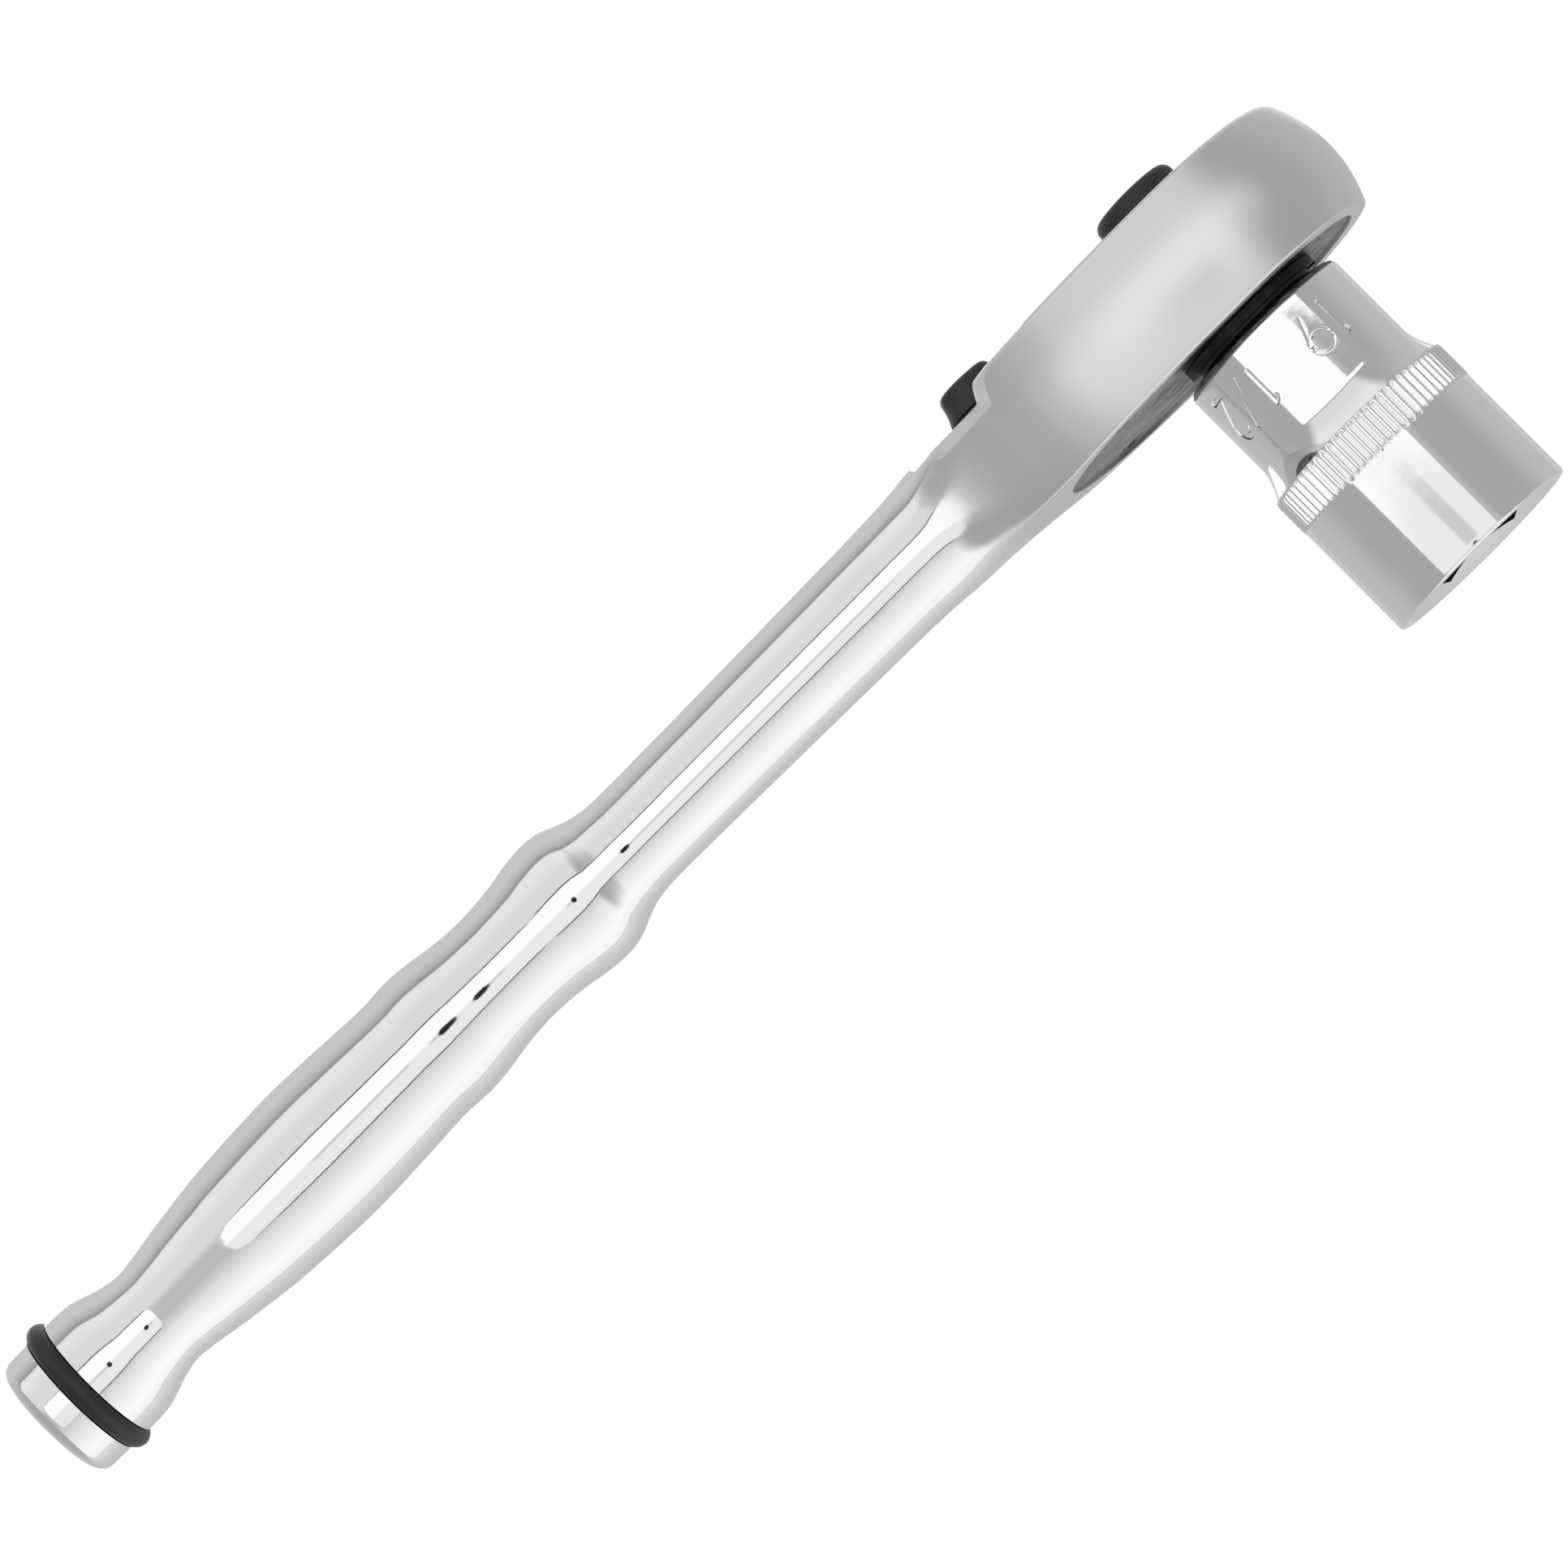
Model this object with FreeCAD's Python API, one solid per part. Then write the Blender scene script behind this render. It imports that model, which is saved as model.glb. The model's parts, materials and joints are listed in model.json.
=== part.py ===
import FreeCAD, Part
import math
import os

# Half-inch-drive ratchet wrench with a 19 mm socket on its drive square.
# Millimetres. The origin is on the drive axis, on the shoulder the socket seats against.
# +Z points up through the release button, and the handle runs along -X.

Vector = FreeCAD.Vector
UP = Vector(0, 0, 1)
ALONG = Vector(1, 0, 0)
CENTRE = Vector(0, 0, 0)

# ---- driving dimensions: head and handle ----
HANDLE_AXIS_Z = 9.85
HEAD_BOTTOM = 1.7
HEAD_TOP = 19.0
HEAD_RADIUS = 21.8
BUTT_X = -201.0
BUTT_EDGE_RADIUS = 1.8

# Half width of the head at its middle height, from the drive axis back into the neck.
CHEEK_POINTS = [
    (0.0, HEAD_RADIUS), (-6.0, 21.65), (-12.0, 21.1), (-18.0, 19.8), (-24.0, 17.6),
    (-30.0, 14.5), (-36.0, 11.3), (-42.0, 8.9), (-48.0, 7.3), (-52.0, 6.4),
]
# How far the barrel-shaped side draws in at each height.
BARREL_LEVELS = [
    (HEAD_BOTTOM, 1.8), (5.0, 0.75), (HANDLE_AXIS_Z, 0.0), (14.5, 0.6),
    (17.4, 1.6), (18.6, 2.5), (HEAD_TOP, 3.4),
]
# Side view of the neck: where its top and bottom run into the round handle.
NECK_TOP_START_X = -27.0
NECK_MIDDLE_X = -44.5
NECK_MIDDLE_TOP = 17.9
NECK_MIDDLE_BOTTOM = 1.8
NECK_TAIL_TOP = 17.1
NECK_TAIL_BOTTOM = 2.7

# The round handle: x and diameter at each swell, waist and run between them.
HANDLE_STATIONS = [
    (-41.0, 16.5), (-44.5, 16.3), (-48.0, 15.65), (-54.0, 15.3), (-62.0, 15.0),
    (-78.0, 14.5), (-92.0, 14.15), (-98.0, 14.1), (-100.5, 14.35), (-103.0, 15.4), (-105.0, 17.0),
    (-107.0, 18.45), (-109.5, 19.0),
    (-112.5, 18.5), (-115.5, 17.5), (-118.5, 16.8), (-122.0, 16.6), (-125.5, 17.1),
    (-129.5, 18.3), (-133.0, 18.9), (-137.5, 18.5), (-144.5, 19.2), (-153.0, 19.8),
    (-159.5, 19.45), (-165.5, 18.7), (-171.5, 17.4), (-177.0, 15.75), (-182.5, 14.4),
    (-186.0, 16.0), (-189.0, 17.85), (-192.5, 18.3), (-196.5, 18.25), (BUTT_X, 18.1),
]

# ---- driving dimensions: grip ring at the butt ----
RING_X = -194.5
RING_OUTER_RADIUS = 10.1
RING_CORD_RADIUS = 1.5
RING_GROOVE_CLEARANCE = 0.06

# ---- driving dimensions: head cavity and cover ----
COVER_RADIUS = 17.35
COVER_REAR_X = -13.0
COVER_BOTTOM = 2.1
COVER_TOP = 4.1
COVER_GAP = 0.08
CAVITY_TOP = 14.0
GEAR_POCKET_RADIUS = 13.0
PAWL_POCKET_RADIUS = 11.8
STEM_POCKET_RADIUS = 4.4
SCREW_CIRCLE_RADIUS = 14.6
SCREW_ANGLE = 125.0
SCREW_SHANK_RADIUS = 1.25
SCREW_HEAD_RADIUS = 2.35
SCREW_HEAD_HEIGHT = 1.1
SCREW_END_Z = 9.0
SCREW_KEY_FLATS = 1.5
SCREW_KEY_DEPTH = 0.8

# ---- driving dimensions: drive gear ----
TOOTH_COUNT = 72
GEAR_RADIUS = 12.6
GEAR_ROOT_RADIUS = 12.05
GEAR_BOTTOM = 4.3
GEAR_TOP = 13.4
TOP_JOURNAL_RADIUS = 8.0
TOP_JOURNAL_END = 18.7
COLLAR_RADIUS = 9.25
COLLAR_CHAMFER = 0.4
RUNNING_CLEARANCE = 0.06
SQUARE_SIDE = 12.6
SQUARE_LENGTH = 15.5
SQUARE_CORNER_RADIUS = 8.35
WASHER_THICKNESS = 0.45
WASHER_RADIUS = 10.8
SNAP_RING_RADIUS = 10.5
SNAP_RING_BOTTOM = 0.85
SNAP_RING_TOP = 2.0
SNAP_GROOVE_RADIUS = 8.6
SNAP_RING_GAP = 3.0

# ---- driving dimensions: quick release ----
BUTTON_RADIUS = 6.1
BUTTON_BOTTOM = 16.8
BUTTON_TOP = 23.2
BUTTON_EDGE_RADIUS = 1.2
BUTTON_WELL_FLOOR = 11.4
RELEASE_TRAVEL = 2.0
PIN_RADIUS = 1.9
PIN_TOP = 20.2
BALL_RADIUS = 2.1
BALL_Z = -7.5
BALL_STAND_OUT = 0.6
BALL_TRAVEL = 0.7
BALL_CLEARANCE = 0.05
FOOT_BORE_RADIUS = 2.95
FOOT_BORE_TOP = BALL_Z + 3.5
SPRING_END_GAP = 0.1
RELEASE_SPRING_RADIUS = 4.2
RELEASE_SPRING_WIRE = 0.35
PIN_FOOT_LENGTH = 2.0
PIN_FOOT_CHAMFER = 0.5
BALL_LIP = 0.2
SPRING_TURNS = 4

# ---- driving dimensions: pawl and reversing lever ----
PAWL_PIVOT_X = -17.0
PAWL_PIVOT_RADIUS = 1.5
PAWL_BOTTOM = 4.4
PAWL_TOP = 13.0
PAWL_OUTER_RADIUS = 15.5
PAWL_HALF_ANGLE = 42.0
PAWL_BACK_X = -21.8
PAWL_BACK_HALF_WIDTH = 3.4
PAWL_RELIEF_HALF_ANGLE = 25.0
PAWL_RELIEF = 0.5
PAWL_SWING = 4.0
TOOTH_CLEARANCE = 0.06
PIVOT_PIN_BOTTOM = 3.05
PIVOT_PIN_TOP = 15.6

LEVER_X = -25.0
LEVER_SWING = 28.0
LEVER_FLOOR = 16.8
LEVER_POCKET_RADIUS = 8.4
LAND_FRONT_X = -29.5
LAND_REAR_X = -42.6
HUB_RADIUS = 8.1
HUB_BOTTOM = 16.9
HUB_TOP = 19.2
TAB_BOTTOM = 17.3
TAB_TOP = 21.1
TAB_RADIUS = 3.75
TAB_NEAR = 5.5
TAB_FAR = 7.55
TAB_EDGE_RADIUS = 1.1
STEM_RADIUS = 3.5
STEM_BOTTOM = 5.2
STEM_SPIGOT_RADIUS = 3.0
STEM_SPIGOT_TOP = 18.4
CIRCLIP_RADIUS = 4.25
CIRCLIP_GROOVE_RADIUS = 2.9
CIRCLIP_BOTTOM = 13.15
CIRCLIP_TOP = 13.85
CIRCLIP_GAP = 2.6
SEAL_RADIUS = 4.2
SEAL_CORD_RADIUS = 0.55
SEAL_POCKET_RADIUS = 4.9
SEAL_POCKET_FLOOR = 15.4
PLUNGER_RADIUS = 1.3
PLUNGER_NOSE_REACH = 3.6
PLUNGER_TAIL_REACH = 0.2
PLUNGER_BORE_REACH = -2.6
PLUNGER_Z = 9.2
PLUNGER_SPRING_RADIUS = 0.95
PLUNGER_SPRING_WIRE = 0.2

# ---- driving dimensions: socket ----
SOCKET_TOP = -0.15
SOCKET_MOUTH = -38.8
SOCKET_SMALL_RADIUS = 12.15
SOCKET_LARGE_RADIUS = 13.85
SOCKET_EDGE = 1.0
FLARE_TOP = -13.0
FLARE_BOTTOM = -16.9
KNURL_TOP = -17.0
KNURL_BOTTOM = -22.3
KNURL_RADIUS = 13.95
KNURL_ROOT_RADIUS = 13.55
KNURL_COUNT = 72
MOUTH_EDGE = 0.5
MOUTH_CONE_RADIUS = 12.4
MOUTH_CONE_END_RADIUS = 9.4
MOUTH_CONE_DEPTH = 1.6
FLARE_SAG = 0.22
SOCKET_SQUARE = 12.9
SOCKET_SQUARE_END = -17.0
SOCKET_RELIEF_RADIUS = 8.4
HEX_FLATS = 19.1
HEX_TOP = -23.5
BALL_GROOVE_RADIUS = 7.35
BALL_GROOVE_HALF_HEIGHT = 2.2
FLUTE_WIDTH = 3.6
FLUTE_REACH = 7.0


# ---- small helpers ----
def cylinder(radius, bottom, top, x=0.0, y=0.0):
    """Upright cylinder between two heights."""
    return Part.makeCylinder(radius, top - bottom, Vector(x, y, bottom), UP)


def ring(outer, inner, bottom, top, x=0.0):
    """Upright flat ring."""
    return cylinder(outer, bottom, top, x).cut(cylinder(inner, bottom, top, x))


def box(x_low, x_high, half_width, bottom, top):
    """Box that is symmetric about the XZ plane."""
    corner = Vector(x_low, -half_width, bottom)
    return Part.makeBox(x_high - x_low, 2 * half_width, top - bottom, corner)


def obround(radius, rear_x, bottom, top):
    """Upright slot shape from the drive axis back to rear_x."""
    front = cylinder(radius, bottom, top)
    rear = cylinder(radius, bottom, top, rear_x)
    middle = box(rear_x, 0.0, radius, bottom, top)
    return front.fuse([rear, middle]).removeSplitter()


def prism(points, bottom, top):
    """Upright prism on a closed outline of (x, y) points."""
    corners = [Vector(x, y, bottom) for x, y in points]
    face = Part.Face(Part.makePolygon(corners + corners[:1]))
    return face.extrude(Vector(0, 0, top - bottom))


def toothed_prism(crest, root, count, bottom, top):
    """Disc with V-shaped teeth, a crest on the +X axis."""
    outline = []
    for step in range(2 * count):
        radius = root if step % 2 else crest
        angle = math.pi * step / count
        outline.append((radius * math.cos(angle), radius * math.sin(angle)))
    return prism(outline, bottom, top)


def hexagon(flats, bottom, top, x=0.0, y=0.0):
    """Upright hexagonal prism with a corner towards +X."""
    corner = flats / math.sqrt(3)
    angles = [math.radians(60 * step) for step in range(6)]
    outline = [(x + corner * math.cos(a), y + corner * math.sin(a)) for a in angles]
    return prism(outline, bottom, top)


def turned(edges, centre, axis, angle=360.0):
    """Solid of revolution of a closed chain of edges."""
    return Part.Face(Part.Wire(edges)).revolve(centre, axis, angle)


def line(start, end):
    return Part.LineSegment(start, end).toShape()


def coil_spring(mean_radius, wire_radius, turns, length):
    """Helical spring standing on the origin."""
    rise = length - 2 * wire_radius
    path = Part.Wire(Part.makeHelix(rise / turns, rise, mean_radius))
    wire = Part.Wire(Part.makeCircle(wire_radius, Vector(mean_radius, 0, 0), Vector(0, 1, 0)))
    spring = path.makePipeShell([wire], True, True)
    spring.translate(Vector(0, 0, wire_radius))
    return spring


def about_lever(shape):
    """Turn a shape from the lever's middle position to its rest position."""
    return shape.rotate(Vector(LEVER_X, 0, 0), UP, LEVER_SWING)


def screw_places():
    """Both cover screws, either side of the handle end of the cover."""
    angle = math.radians(SCREW_ANGLE)
    x = COVER_REAR_X + SCREW_CIRCLE_RADIUS * math.cos(angle)
    y = SCREW_CIRCLE_RADIUS * math.sin(angle)
    return [(x, y), (x, -y)]


# ---- ratchet body ----
def head_outline(height, inset):
    """Plan outline of the head at one height: a round nose and two cheeks."""
    right = [Vector(x, half_width - inset, height) for x, half_width in CHEEK_POINTS]
    left = [Vector(point.x, -point.y, height) for point in right]
    tip = Vector(right[0].y, 0, height)
    cheeks = []
    for points in (right, left):
        cheek = Part.BSplineCurve()
        cheek.interpolate(Points=points, Parameters=list(range(len(points))), InitialTangent=-ALONG)
        cheeks.append(cheek.toShape())
    nose = Part.Arc(left[0], tip, right[0]).toShape()
    return Part.Wire([nose, cheeks[0], line(right[-1], left[-1]), cheeks[1]])


def head_blank():
    """Barrel-sided head, trimmed in side view so that its neck runs into the handle."""
    head = Part.makeLoft([head_outline(*level) for level in BARREL_LEVELS], True, False)
    tail_x = CHEEK_POINTS[-1][0]
    side = [
        (HEAD_RADIUS, HEAD_BOTTOM), (NECK_MIDDLE_X, NECK_MIDDLE_BOTTOM), (tail_x, NECK_TAIL_BOTTOM),
        (tail_x, NECK_TAIL_TOP), (NECK_MIDDLE_X, NECK_MIDDLE_TOP), (NECK_TOP_START_X, HEAD_TOP),
        (HEAD_RADIUS, HEAD_TOP),
    ]
    corners = [Vector(x, -HEAD_RADIUS, z) for x, z in side]
    slab = Part.Face(Part.makePolygon(corners + corners[:1])).extrude(Vector(0, 2 * HEAD_RADIUS, 0))
    return head.common(slab)


def handle_blank():
    """Round handle, turned from its profile."""
    points = [Vector(x, 0, HANDLE_AXIS_Z + diameter / 2) for x, diameter in HANDLE_STATIONS]
    curve = Part.BSplineCurve()
    curve.interpolate(points)
    front_centre = Vector(points[0].x, 0, HANDLE_AXIS_Z)
    butt_centre = Vector(BUTT_X, 0, HANDLE_AXIS_Z)
    return turned([
        curve.toShape(),
        line(points[-1], butt_centre),
        line(butt_centre, front_centre),
        line(front_centre, points[0]),
    ], front_centre, ALONG)


def butt_rounding():
    """Ring that is cut away to round the edge of the butt."""
    radius = HANDLE_STATIONS[-1][1] / 2
    middle = BUTT_EDGE_RADIUS * (1 - math.sqrt(0.5))
    start = Vector(BUTT_X, 0, HANDLE_AXIS_Z + radius - BUTT_EDGE_RADIUS)
    bend = Vector(BUTT_X + middle, 0, HANDLE_AXIS_Z + radius - middle)
    end = Vector(BUTT_X + BUTT_EDGE_RADIUS, 0, HANDLE_AXIS_Z + radius)
    outer_end = end + Vector(0, 0, 1)
    outer_start = Vector(BUTT_X - 1, 0, outer_end.z)
    inner_start = Vector(BUTT_X - 1, 0, start.z)
    edges = [
        Part.Arc(start, bend, end).toShape(),
        line(end, outer_end),
        line(outer_end, outer_start),
        line(outer_start, inner_start),
        line(inner_start, start),
    ]
    return turned(edges, Vector(0, 0, HANDLE_AXIS_Z), ALONG)


def ring_groove():
    """Groove that the grip ring sits in."""
    half = RING_CORD_RADIUS + RING_GROOVE_CLEARANCE
    floor = RING_OUTER_RADIUS - 2 * half
    start = Vector(RING_X - half, 0, HANDLE_AXIS_Z)
    outer = Part.makeCylinder(2 * RING_OUTER_RADIUS, 2 * half, start, ALONG)
    return outer.cut(Part.makeCylinder(floor, 2 * half, start, ALONG))


def head_cavity():
    """Pockets opening at the underside, and the bores through the top."""
    recess = obround(COVER_RADIUS + COVER_GAP, COVER_REAR_X, HEAD_BOTTOM - 1, COVER_TOP)
    gear_pocket = cylinder(GEAR_POCKET_RADIUS, HEAD_BOTTOM, CAVITY_TOP)
    pawl_pocket = cylinder(PAWL_POCKET_RADIUS, HEAD_BOTTOM, CAVITY_TOP, COVER_REAR_X)
    stem_pocket = cylinder(STEM_POCKET_RADIUS, HEAD_BOTTOM, CAVITY_TOP, LEVER_X)
    journal_bore = cylinder(TOP_JOURNAL_RADIUS + RUNNING_CLEARANCE, CAVITY_TOP, HEAD_TOP + 1)
    stem_bore = cylinder(STEM_RADIUS + RUNNING_CLEARANCE, CAVITY_TOP, HEAD_TOP, LEVER_X)
    seal_pocket = cylinder(SEAL_POCKET_RADIUS, SEAL_POCKET_FLOOR, HEAD_TOP, LEVER_X)
    pin_hole = cylinder(PAWL_PIVOT_RADIUS, COVER_TOP, PIVOT_PIN_TOP, PAWL_PIVOT_X)
    holes = [cylinder(SCREW_SHANK_RADIUS, COVER_BOTTOM, SCREW_END_Z + 1, x, y) for x, y in screw_places()]
    return [recess, gear_pocket, pawl_pocket, stem_pocket, journal_bore, stem_bore,
            seal_pocket, pin_hole] + holes


def lever_recess():
    """Flat land the lever sweeps over, and the round pocket for its hub."""
    land = box(LAND_REAR_X, LAND_FRONT_X, HEAD_RADIUS, LEVER_FLOOR, HEAD_TOP + 1)
    hub_pocket = cylinder(LEVER_POCKET_RADIUS, LEVER_FLOOR, HEAD_TOP + 1, LEVER_X)
    return [land, hub_pocket]


def make_ratchet_body():
    handle = handle_blank().cut([ring_groove(), butt_rounding()])
    return head_blank().fuse(handle).cut(head_cavity() + lever_recess())


# ---- cover, its screws and the grip ring ----
def make_cover_plate():
    plate = obround(COVER_RADIUS, COVER_REAR_X, COVER_BOTTOM, COVER_TOP)
    collar_hole = cylinder(COLLAR_RADIUS + RUNNING_CLEARANCE, COVER_BOTTOM, COVER_TOP)
    pin_hole = cylinder(PAWL_PIVOT_RADIUS + RUNNING_CLEARANCE, PIVOT_PIN_BOTTOM, COVER_TOP, PAWL_PIVOT_X)
    screw_seats = [cover_screw(x, y, False) for x, y in screw_places()]
    return plate.cut([collar_hole, pin_hole] + screw_seats)


def cover_screw(x, y, keyed=True):
    """Countersunk screw, its head flush with the underside of the cover."""
    seat = Vector(x, y, COVER_BOTTOM)
    head = Part.makeCone(SCREW_HEAD_RADIUS, SCREW_SHANK_RADIUS, SCREW_HEAD_HEIGHT, seat, UP)
    shank = cylinder(SCREW_SHANK_RADIUS, COVER_BOTTOM + SCREW_HEAD_HEIGHT, SCREW_END_Z, x, y)
    screw = head.fuse(shank).removeSplitter()
    if keyed:
        screw = screw.cut(hexagon(SCREW_KEY_FLATS, COVER_BOTTOM, COVER_BOTTOM + SCREW_KEY_DEPTH, x, y))
    return screw


def make_cover_screws():
    return Part.makeCompound([cover_screw(x, y) for x, y in screw_places()])


def make_grip_ring():
    mean_radius = RING_OUTER_RADIUS - RING_CORD_RADIUS
    return Part.makeTorus(mean_radius, RING_CORD_RADIUS, Vector(RING_X, 0, HANDLE_AXIS_Z), ALONG)


# ---- drive gear and what holds it ----
def square_bar(side, bottom, top):
    """Upright square bar on the drive axis, flats towards X and Y."""
    return box(-side / 2, side / 2, side / 2, bottom, top)


def ball_seat():
    """Radial hole for the detent ball, narrower at the flat so that the ball stays in."""
    flat = SQUARE_SIDE / 2
    ball_centre = flat + BALL_STAND_OUT - BALL_RADIUS
    lip_depth = flat - BALL_LIP
    lip_radius = math.sqrt(BALL_RADIUS ** 2 - (lip_depth - ball_centre) ** 2) + BALL_CLEARANCE
    wide = Part.makeCylinder(BALL_RADIUS + BALL_CLEARANCE, lip_depth, Vector(0, 0, BALL_Z), ALONG)
    narrow = Part.makeCylinder(lip_radius, flat + 1, Vector(0, 0, BALL_Z), ALONG)
    return wide.fuse(narrow)


def make_drive_gear():
    teeth = toothed_prism(GEAR_RADIUS, GEAR_ROOT_RADIUS, TOOTH_COUNT, GEAR_BOTTOM, GEAR_TOP)
    top_journal = cylinder(TOP_JOURNAL_RADIUS, GEAR_TOP, TOP_JOURNAL_END)
    collar = cylinder(COLLAR_RADIUS, COLLAR_CHAMFER, GEAR_BOTTOM)
    chamfer = Part.makeCone(COLLAR_RADIUS - COLLAR_CHAMFER, COLLAR_RADIUS, COLLAR_CHAMFER, CENTRE, UP)
    square = square_bar(SQUARE_SIDE, -SQUARE_LENGTH, COLLAR_CHAMFER)
    square = square.common(cylinder(SQUARE_CORNER_RADIUS, -SQUARE_LENGTH, COLLAR_CHAMFER))
    gear = teeth.fuse([top_journal, collar, chamfer, square]).removeSplitter()
    button_well = cylinder(BUTTON_RADIUS + RUNNING_CLEARANCE, BUTTON_WELL_FLOOR, TOP_JOURNAL_END)
    pin_bore = cylinder(PIN_RADIUS + RUNNING_CLEARANCE, -SQUARE_LENGTH, TOP_JOURNAL_END)
    foot_bore = cylinder(FOOT_BORE_RADIUS, -SQUARE_LENGTH, FOOT_BORE_TOP)
    snap_groove = ring(COLLAR_RADIUS + 1, SNAP_GROOVE_RADIUS, SNAP_RING_BOTTOM, SNAP_RING_TOP)
    return gear.cut([button_well, pin_bore, foot_bore, snap_groove, ball_seat()])


def split_ring(outer, inner, bottom, top, gap, x=0.0):
    """Retaining ring with an opening towards +X."""
    whole = ring(outer, inner, bottom, top, x)
    return whole.cut(box(x, x + outer + 1, gap / 2, bottom, top))


def make_gear_retaining_ring():
    radii = (SNAP_RING_RADIUS, SNAP_GROOVE_RADIUS)
    return split_ring(*radii, SNAP_RING_BOTTOM, SNAP_RING_TOP, SNAP_RING_GAP)


def make_gear_washer():
    bottom = (GEAR_TOP + CAVITY_TOP - WASHER_THICKNESS) / 2
    inner = TOP_JOURNAL_RADIUS + 2 * RUNNING_CLEARANCE
    return ring(WASHER_RADIUS, inner, bottom, bottom + WASHER_THICKNESS)


# ---- quick release ----
def make_release_button():
    blank = cylinder(BUTTON_RADIUS, BUTTON_BOTTOM, BUTTON_TOP)
    rims = [edge for edge in blank.Edges if edge.Closed and edge.BoundBox.ZMin > BUTTON_TOP - 0.01]
    rounded = blank.makeFillet(BUTTON_EDGE_RADIUS, rims)
    return rounded.cut(cylinder(PIN_RADIUS, BUTTON_BOTTOM, PIN_TOP))


def make_release_pin():
    """Push rod whose conical foot wedges the ball out, and lets it in when pressed."""
    slope = BALL_TRAVEL / RELEASE_TRAVEL
    ball_centre = SQUARE_SIDE / 2 + BALL_STAND_OUT - BALL_RADIUS
    radius_at_ball = ball_centre - (BALL_RADIUS + BALL_CLEARANCE) * math.hypot(1, slope)
    cone_rise = (radius_at_ball - PIN_RADIUS) / slope
    cone_drop = (FOOT_BORE_RADIUS - RUNNING_CLEARANCE - radius_at_ball) / slope
    foot_radius = radius_at_ball + slope * cone_drop
    foot_end = BALL_Z - cone_drop - PIN_FOOT_LENGTH
    profile = [
        Vector(0, 0, foot_end),
        Vector(foot_radius - PIN_FOOT_CHAMFER, 0, foot_end),
        Vector(foot_radius, 0, foot_end + PIN_FOOT_CHAMFER),
        Vector(foot_radius, 0, BALL_Z - cone_drop),
        Vector(PIN_RADIUS, 0, BALL_Z + cone_rise),
        Vector(PIN_RADIUS, 0, PIN_TOP),
        Vector(0, 0, PIN_TOP),
        Vector(0, 0, foot_end),
    ]
    return Part.Face(Part.makePolygon(profile)).revolve(CENTRE, UP, 360)


def make_release_spring():
    length = BUTTON_BOTTOM - BUTTON_WELL_FLOOR - 2 * SPRING_END_GAP
    spring = coil_spring(RELEASE_SPRING_RADIUS, RELEASE_SPRING_WIRE, SPRING_TURNS, length)
    spring.translate(Vector(0, 0, BUTTON_WELL_FLOOR + SPRING_END_GAP))
    return spring


def make_detent_ball():
    centre_x = SQUARE_SIDE / 2 + BALL_STAND_OUT - BALL_RADIUS
    return Part.makeSphere(BALL_RADIUS, Vector(centre_x, 0, BALL_Z))


# ---- pawl ----
def plunger_nose_path():
    """Radius and centre of the arc that the plunger's nose centre follows across the pawl's back.

    The pawl rocks the other way as the lever turns, so the arc is taken in the pawl's own frame,
    through the nose centre at the middle of the throw and at its end.
    """
    middle = LEVER_X + PLUNGER_NOSE_REACH
    swing = math.radians(LEVER_SWING)
    rock = math.radians(PAWL_SWING)
    x = LEVER_X + PLUNGER_NOSE_REACH * math.cos(swing) - PAWL_PIVOT_X
    y = PLUNGER_NOSE_REACH * math.sin(swing)
    end_x = PAWL_PIVOT_X + x * math.cos(rock) - y * math.sin(rock)
    end_y = x * math.sin(rock) + y * math.cos(rock)
    depth = middle - end_x
    radius = (end_y ** 2 + depth ** 2) / (2 * depth)
    return radius, middle - radius


def pawl_wedge(half_angle):
    """Wedge from the drive axis towards the handle, as thick as the pawl."""
    reach = 2 * PAWL_OUTER_RADIUS
    angle = math.radians(half_angle)
    x = -reach * math.cos(angle)
    y = reach * math.sin(angle)
    return prism([(0, 0), (x, y), (x, -y)], PAWL_BOTTOM, PAWL_TOP)


def make_pawl():
    """Two-ended rocking pawl: teeth at both tips, one set in mesh at a time, relieved between."""
    arms = ring(PAWL_OUTER_RADIUS, GEAR_ROOT_RADIUS - 1, PAWL_BOTTOM, PAWL_TOP)
    arms = arms.common(pawl_wedge(PAWL_HALF_ANGLE))
    relief = cylinder(GEAR_RADIUS + PAWL_RELIEF, PAWL_BOTTOM, PAWL_TOP)
    relief = relief.common(pawl_wedge(PAWL_RELIEF_HALF_ANGLE))
    back = box(PAWL_BACK_X, -GEAR_RADIUS, PAWL_BACK_HALF_WIDTH, PAWL_BOTTOM, PAWL_TOP)
    path_radius, path_x = plunger_nose_path()
    hollow_radius = path_radius + PLUNGER_RADIUS + TOOTH_CLEARANCE
    hollow = cylinder(hollow_radius, PAWL_BOTTOM, PAWL_TOP, path_x)
    pivot_hole = cylinder(PAWL_PIVOT_RADIUS + RUNNING_CLEARANCE, PAWL_BOTTOM, PAWL_TOP, PAWL_PIVOT_X)
    pawl = arms.fuse(back).cut([hollow, pivot_hole, relief])
    crest = GEAR_RADIUS + TOOTH_CLEARANCE
    root = GEAR_ROOT_RADIUS + TOOTH_CLEARANCE
    pivot = Vector(PAWL_PIVOT_X, 0, 0)
    for rock in (PAWL_SWING, -PAWL_SWING):
        gear = toothed_prism(crest, root, TOOTH_COUNT, PAWL_BOTTOM, PAWL_TOP)
        pawl = pawl.cut(gear.rotate(pivot, UP, rock))
    return pawl.removeSplitter().rotate(pivot, UP, -PAWL_SWING)


def make_pawl_pivot_pin():
    return cylinder(PAWL_PIVOT_RADIUS, PIVOT_PIN_BOTTOM, PIVOT_PIN_TOP, PAWL_PIVOT_X)


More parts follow.
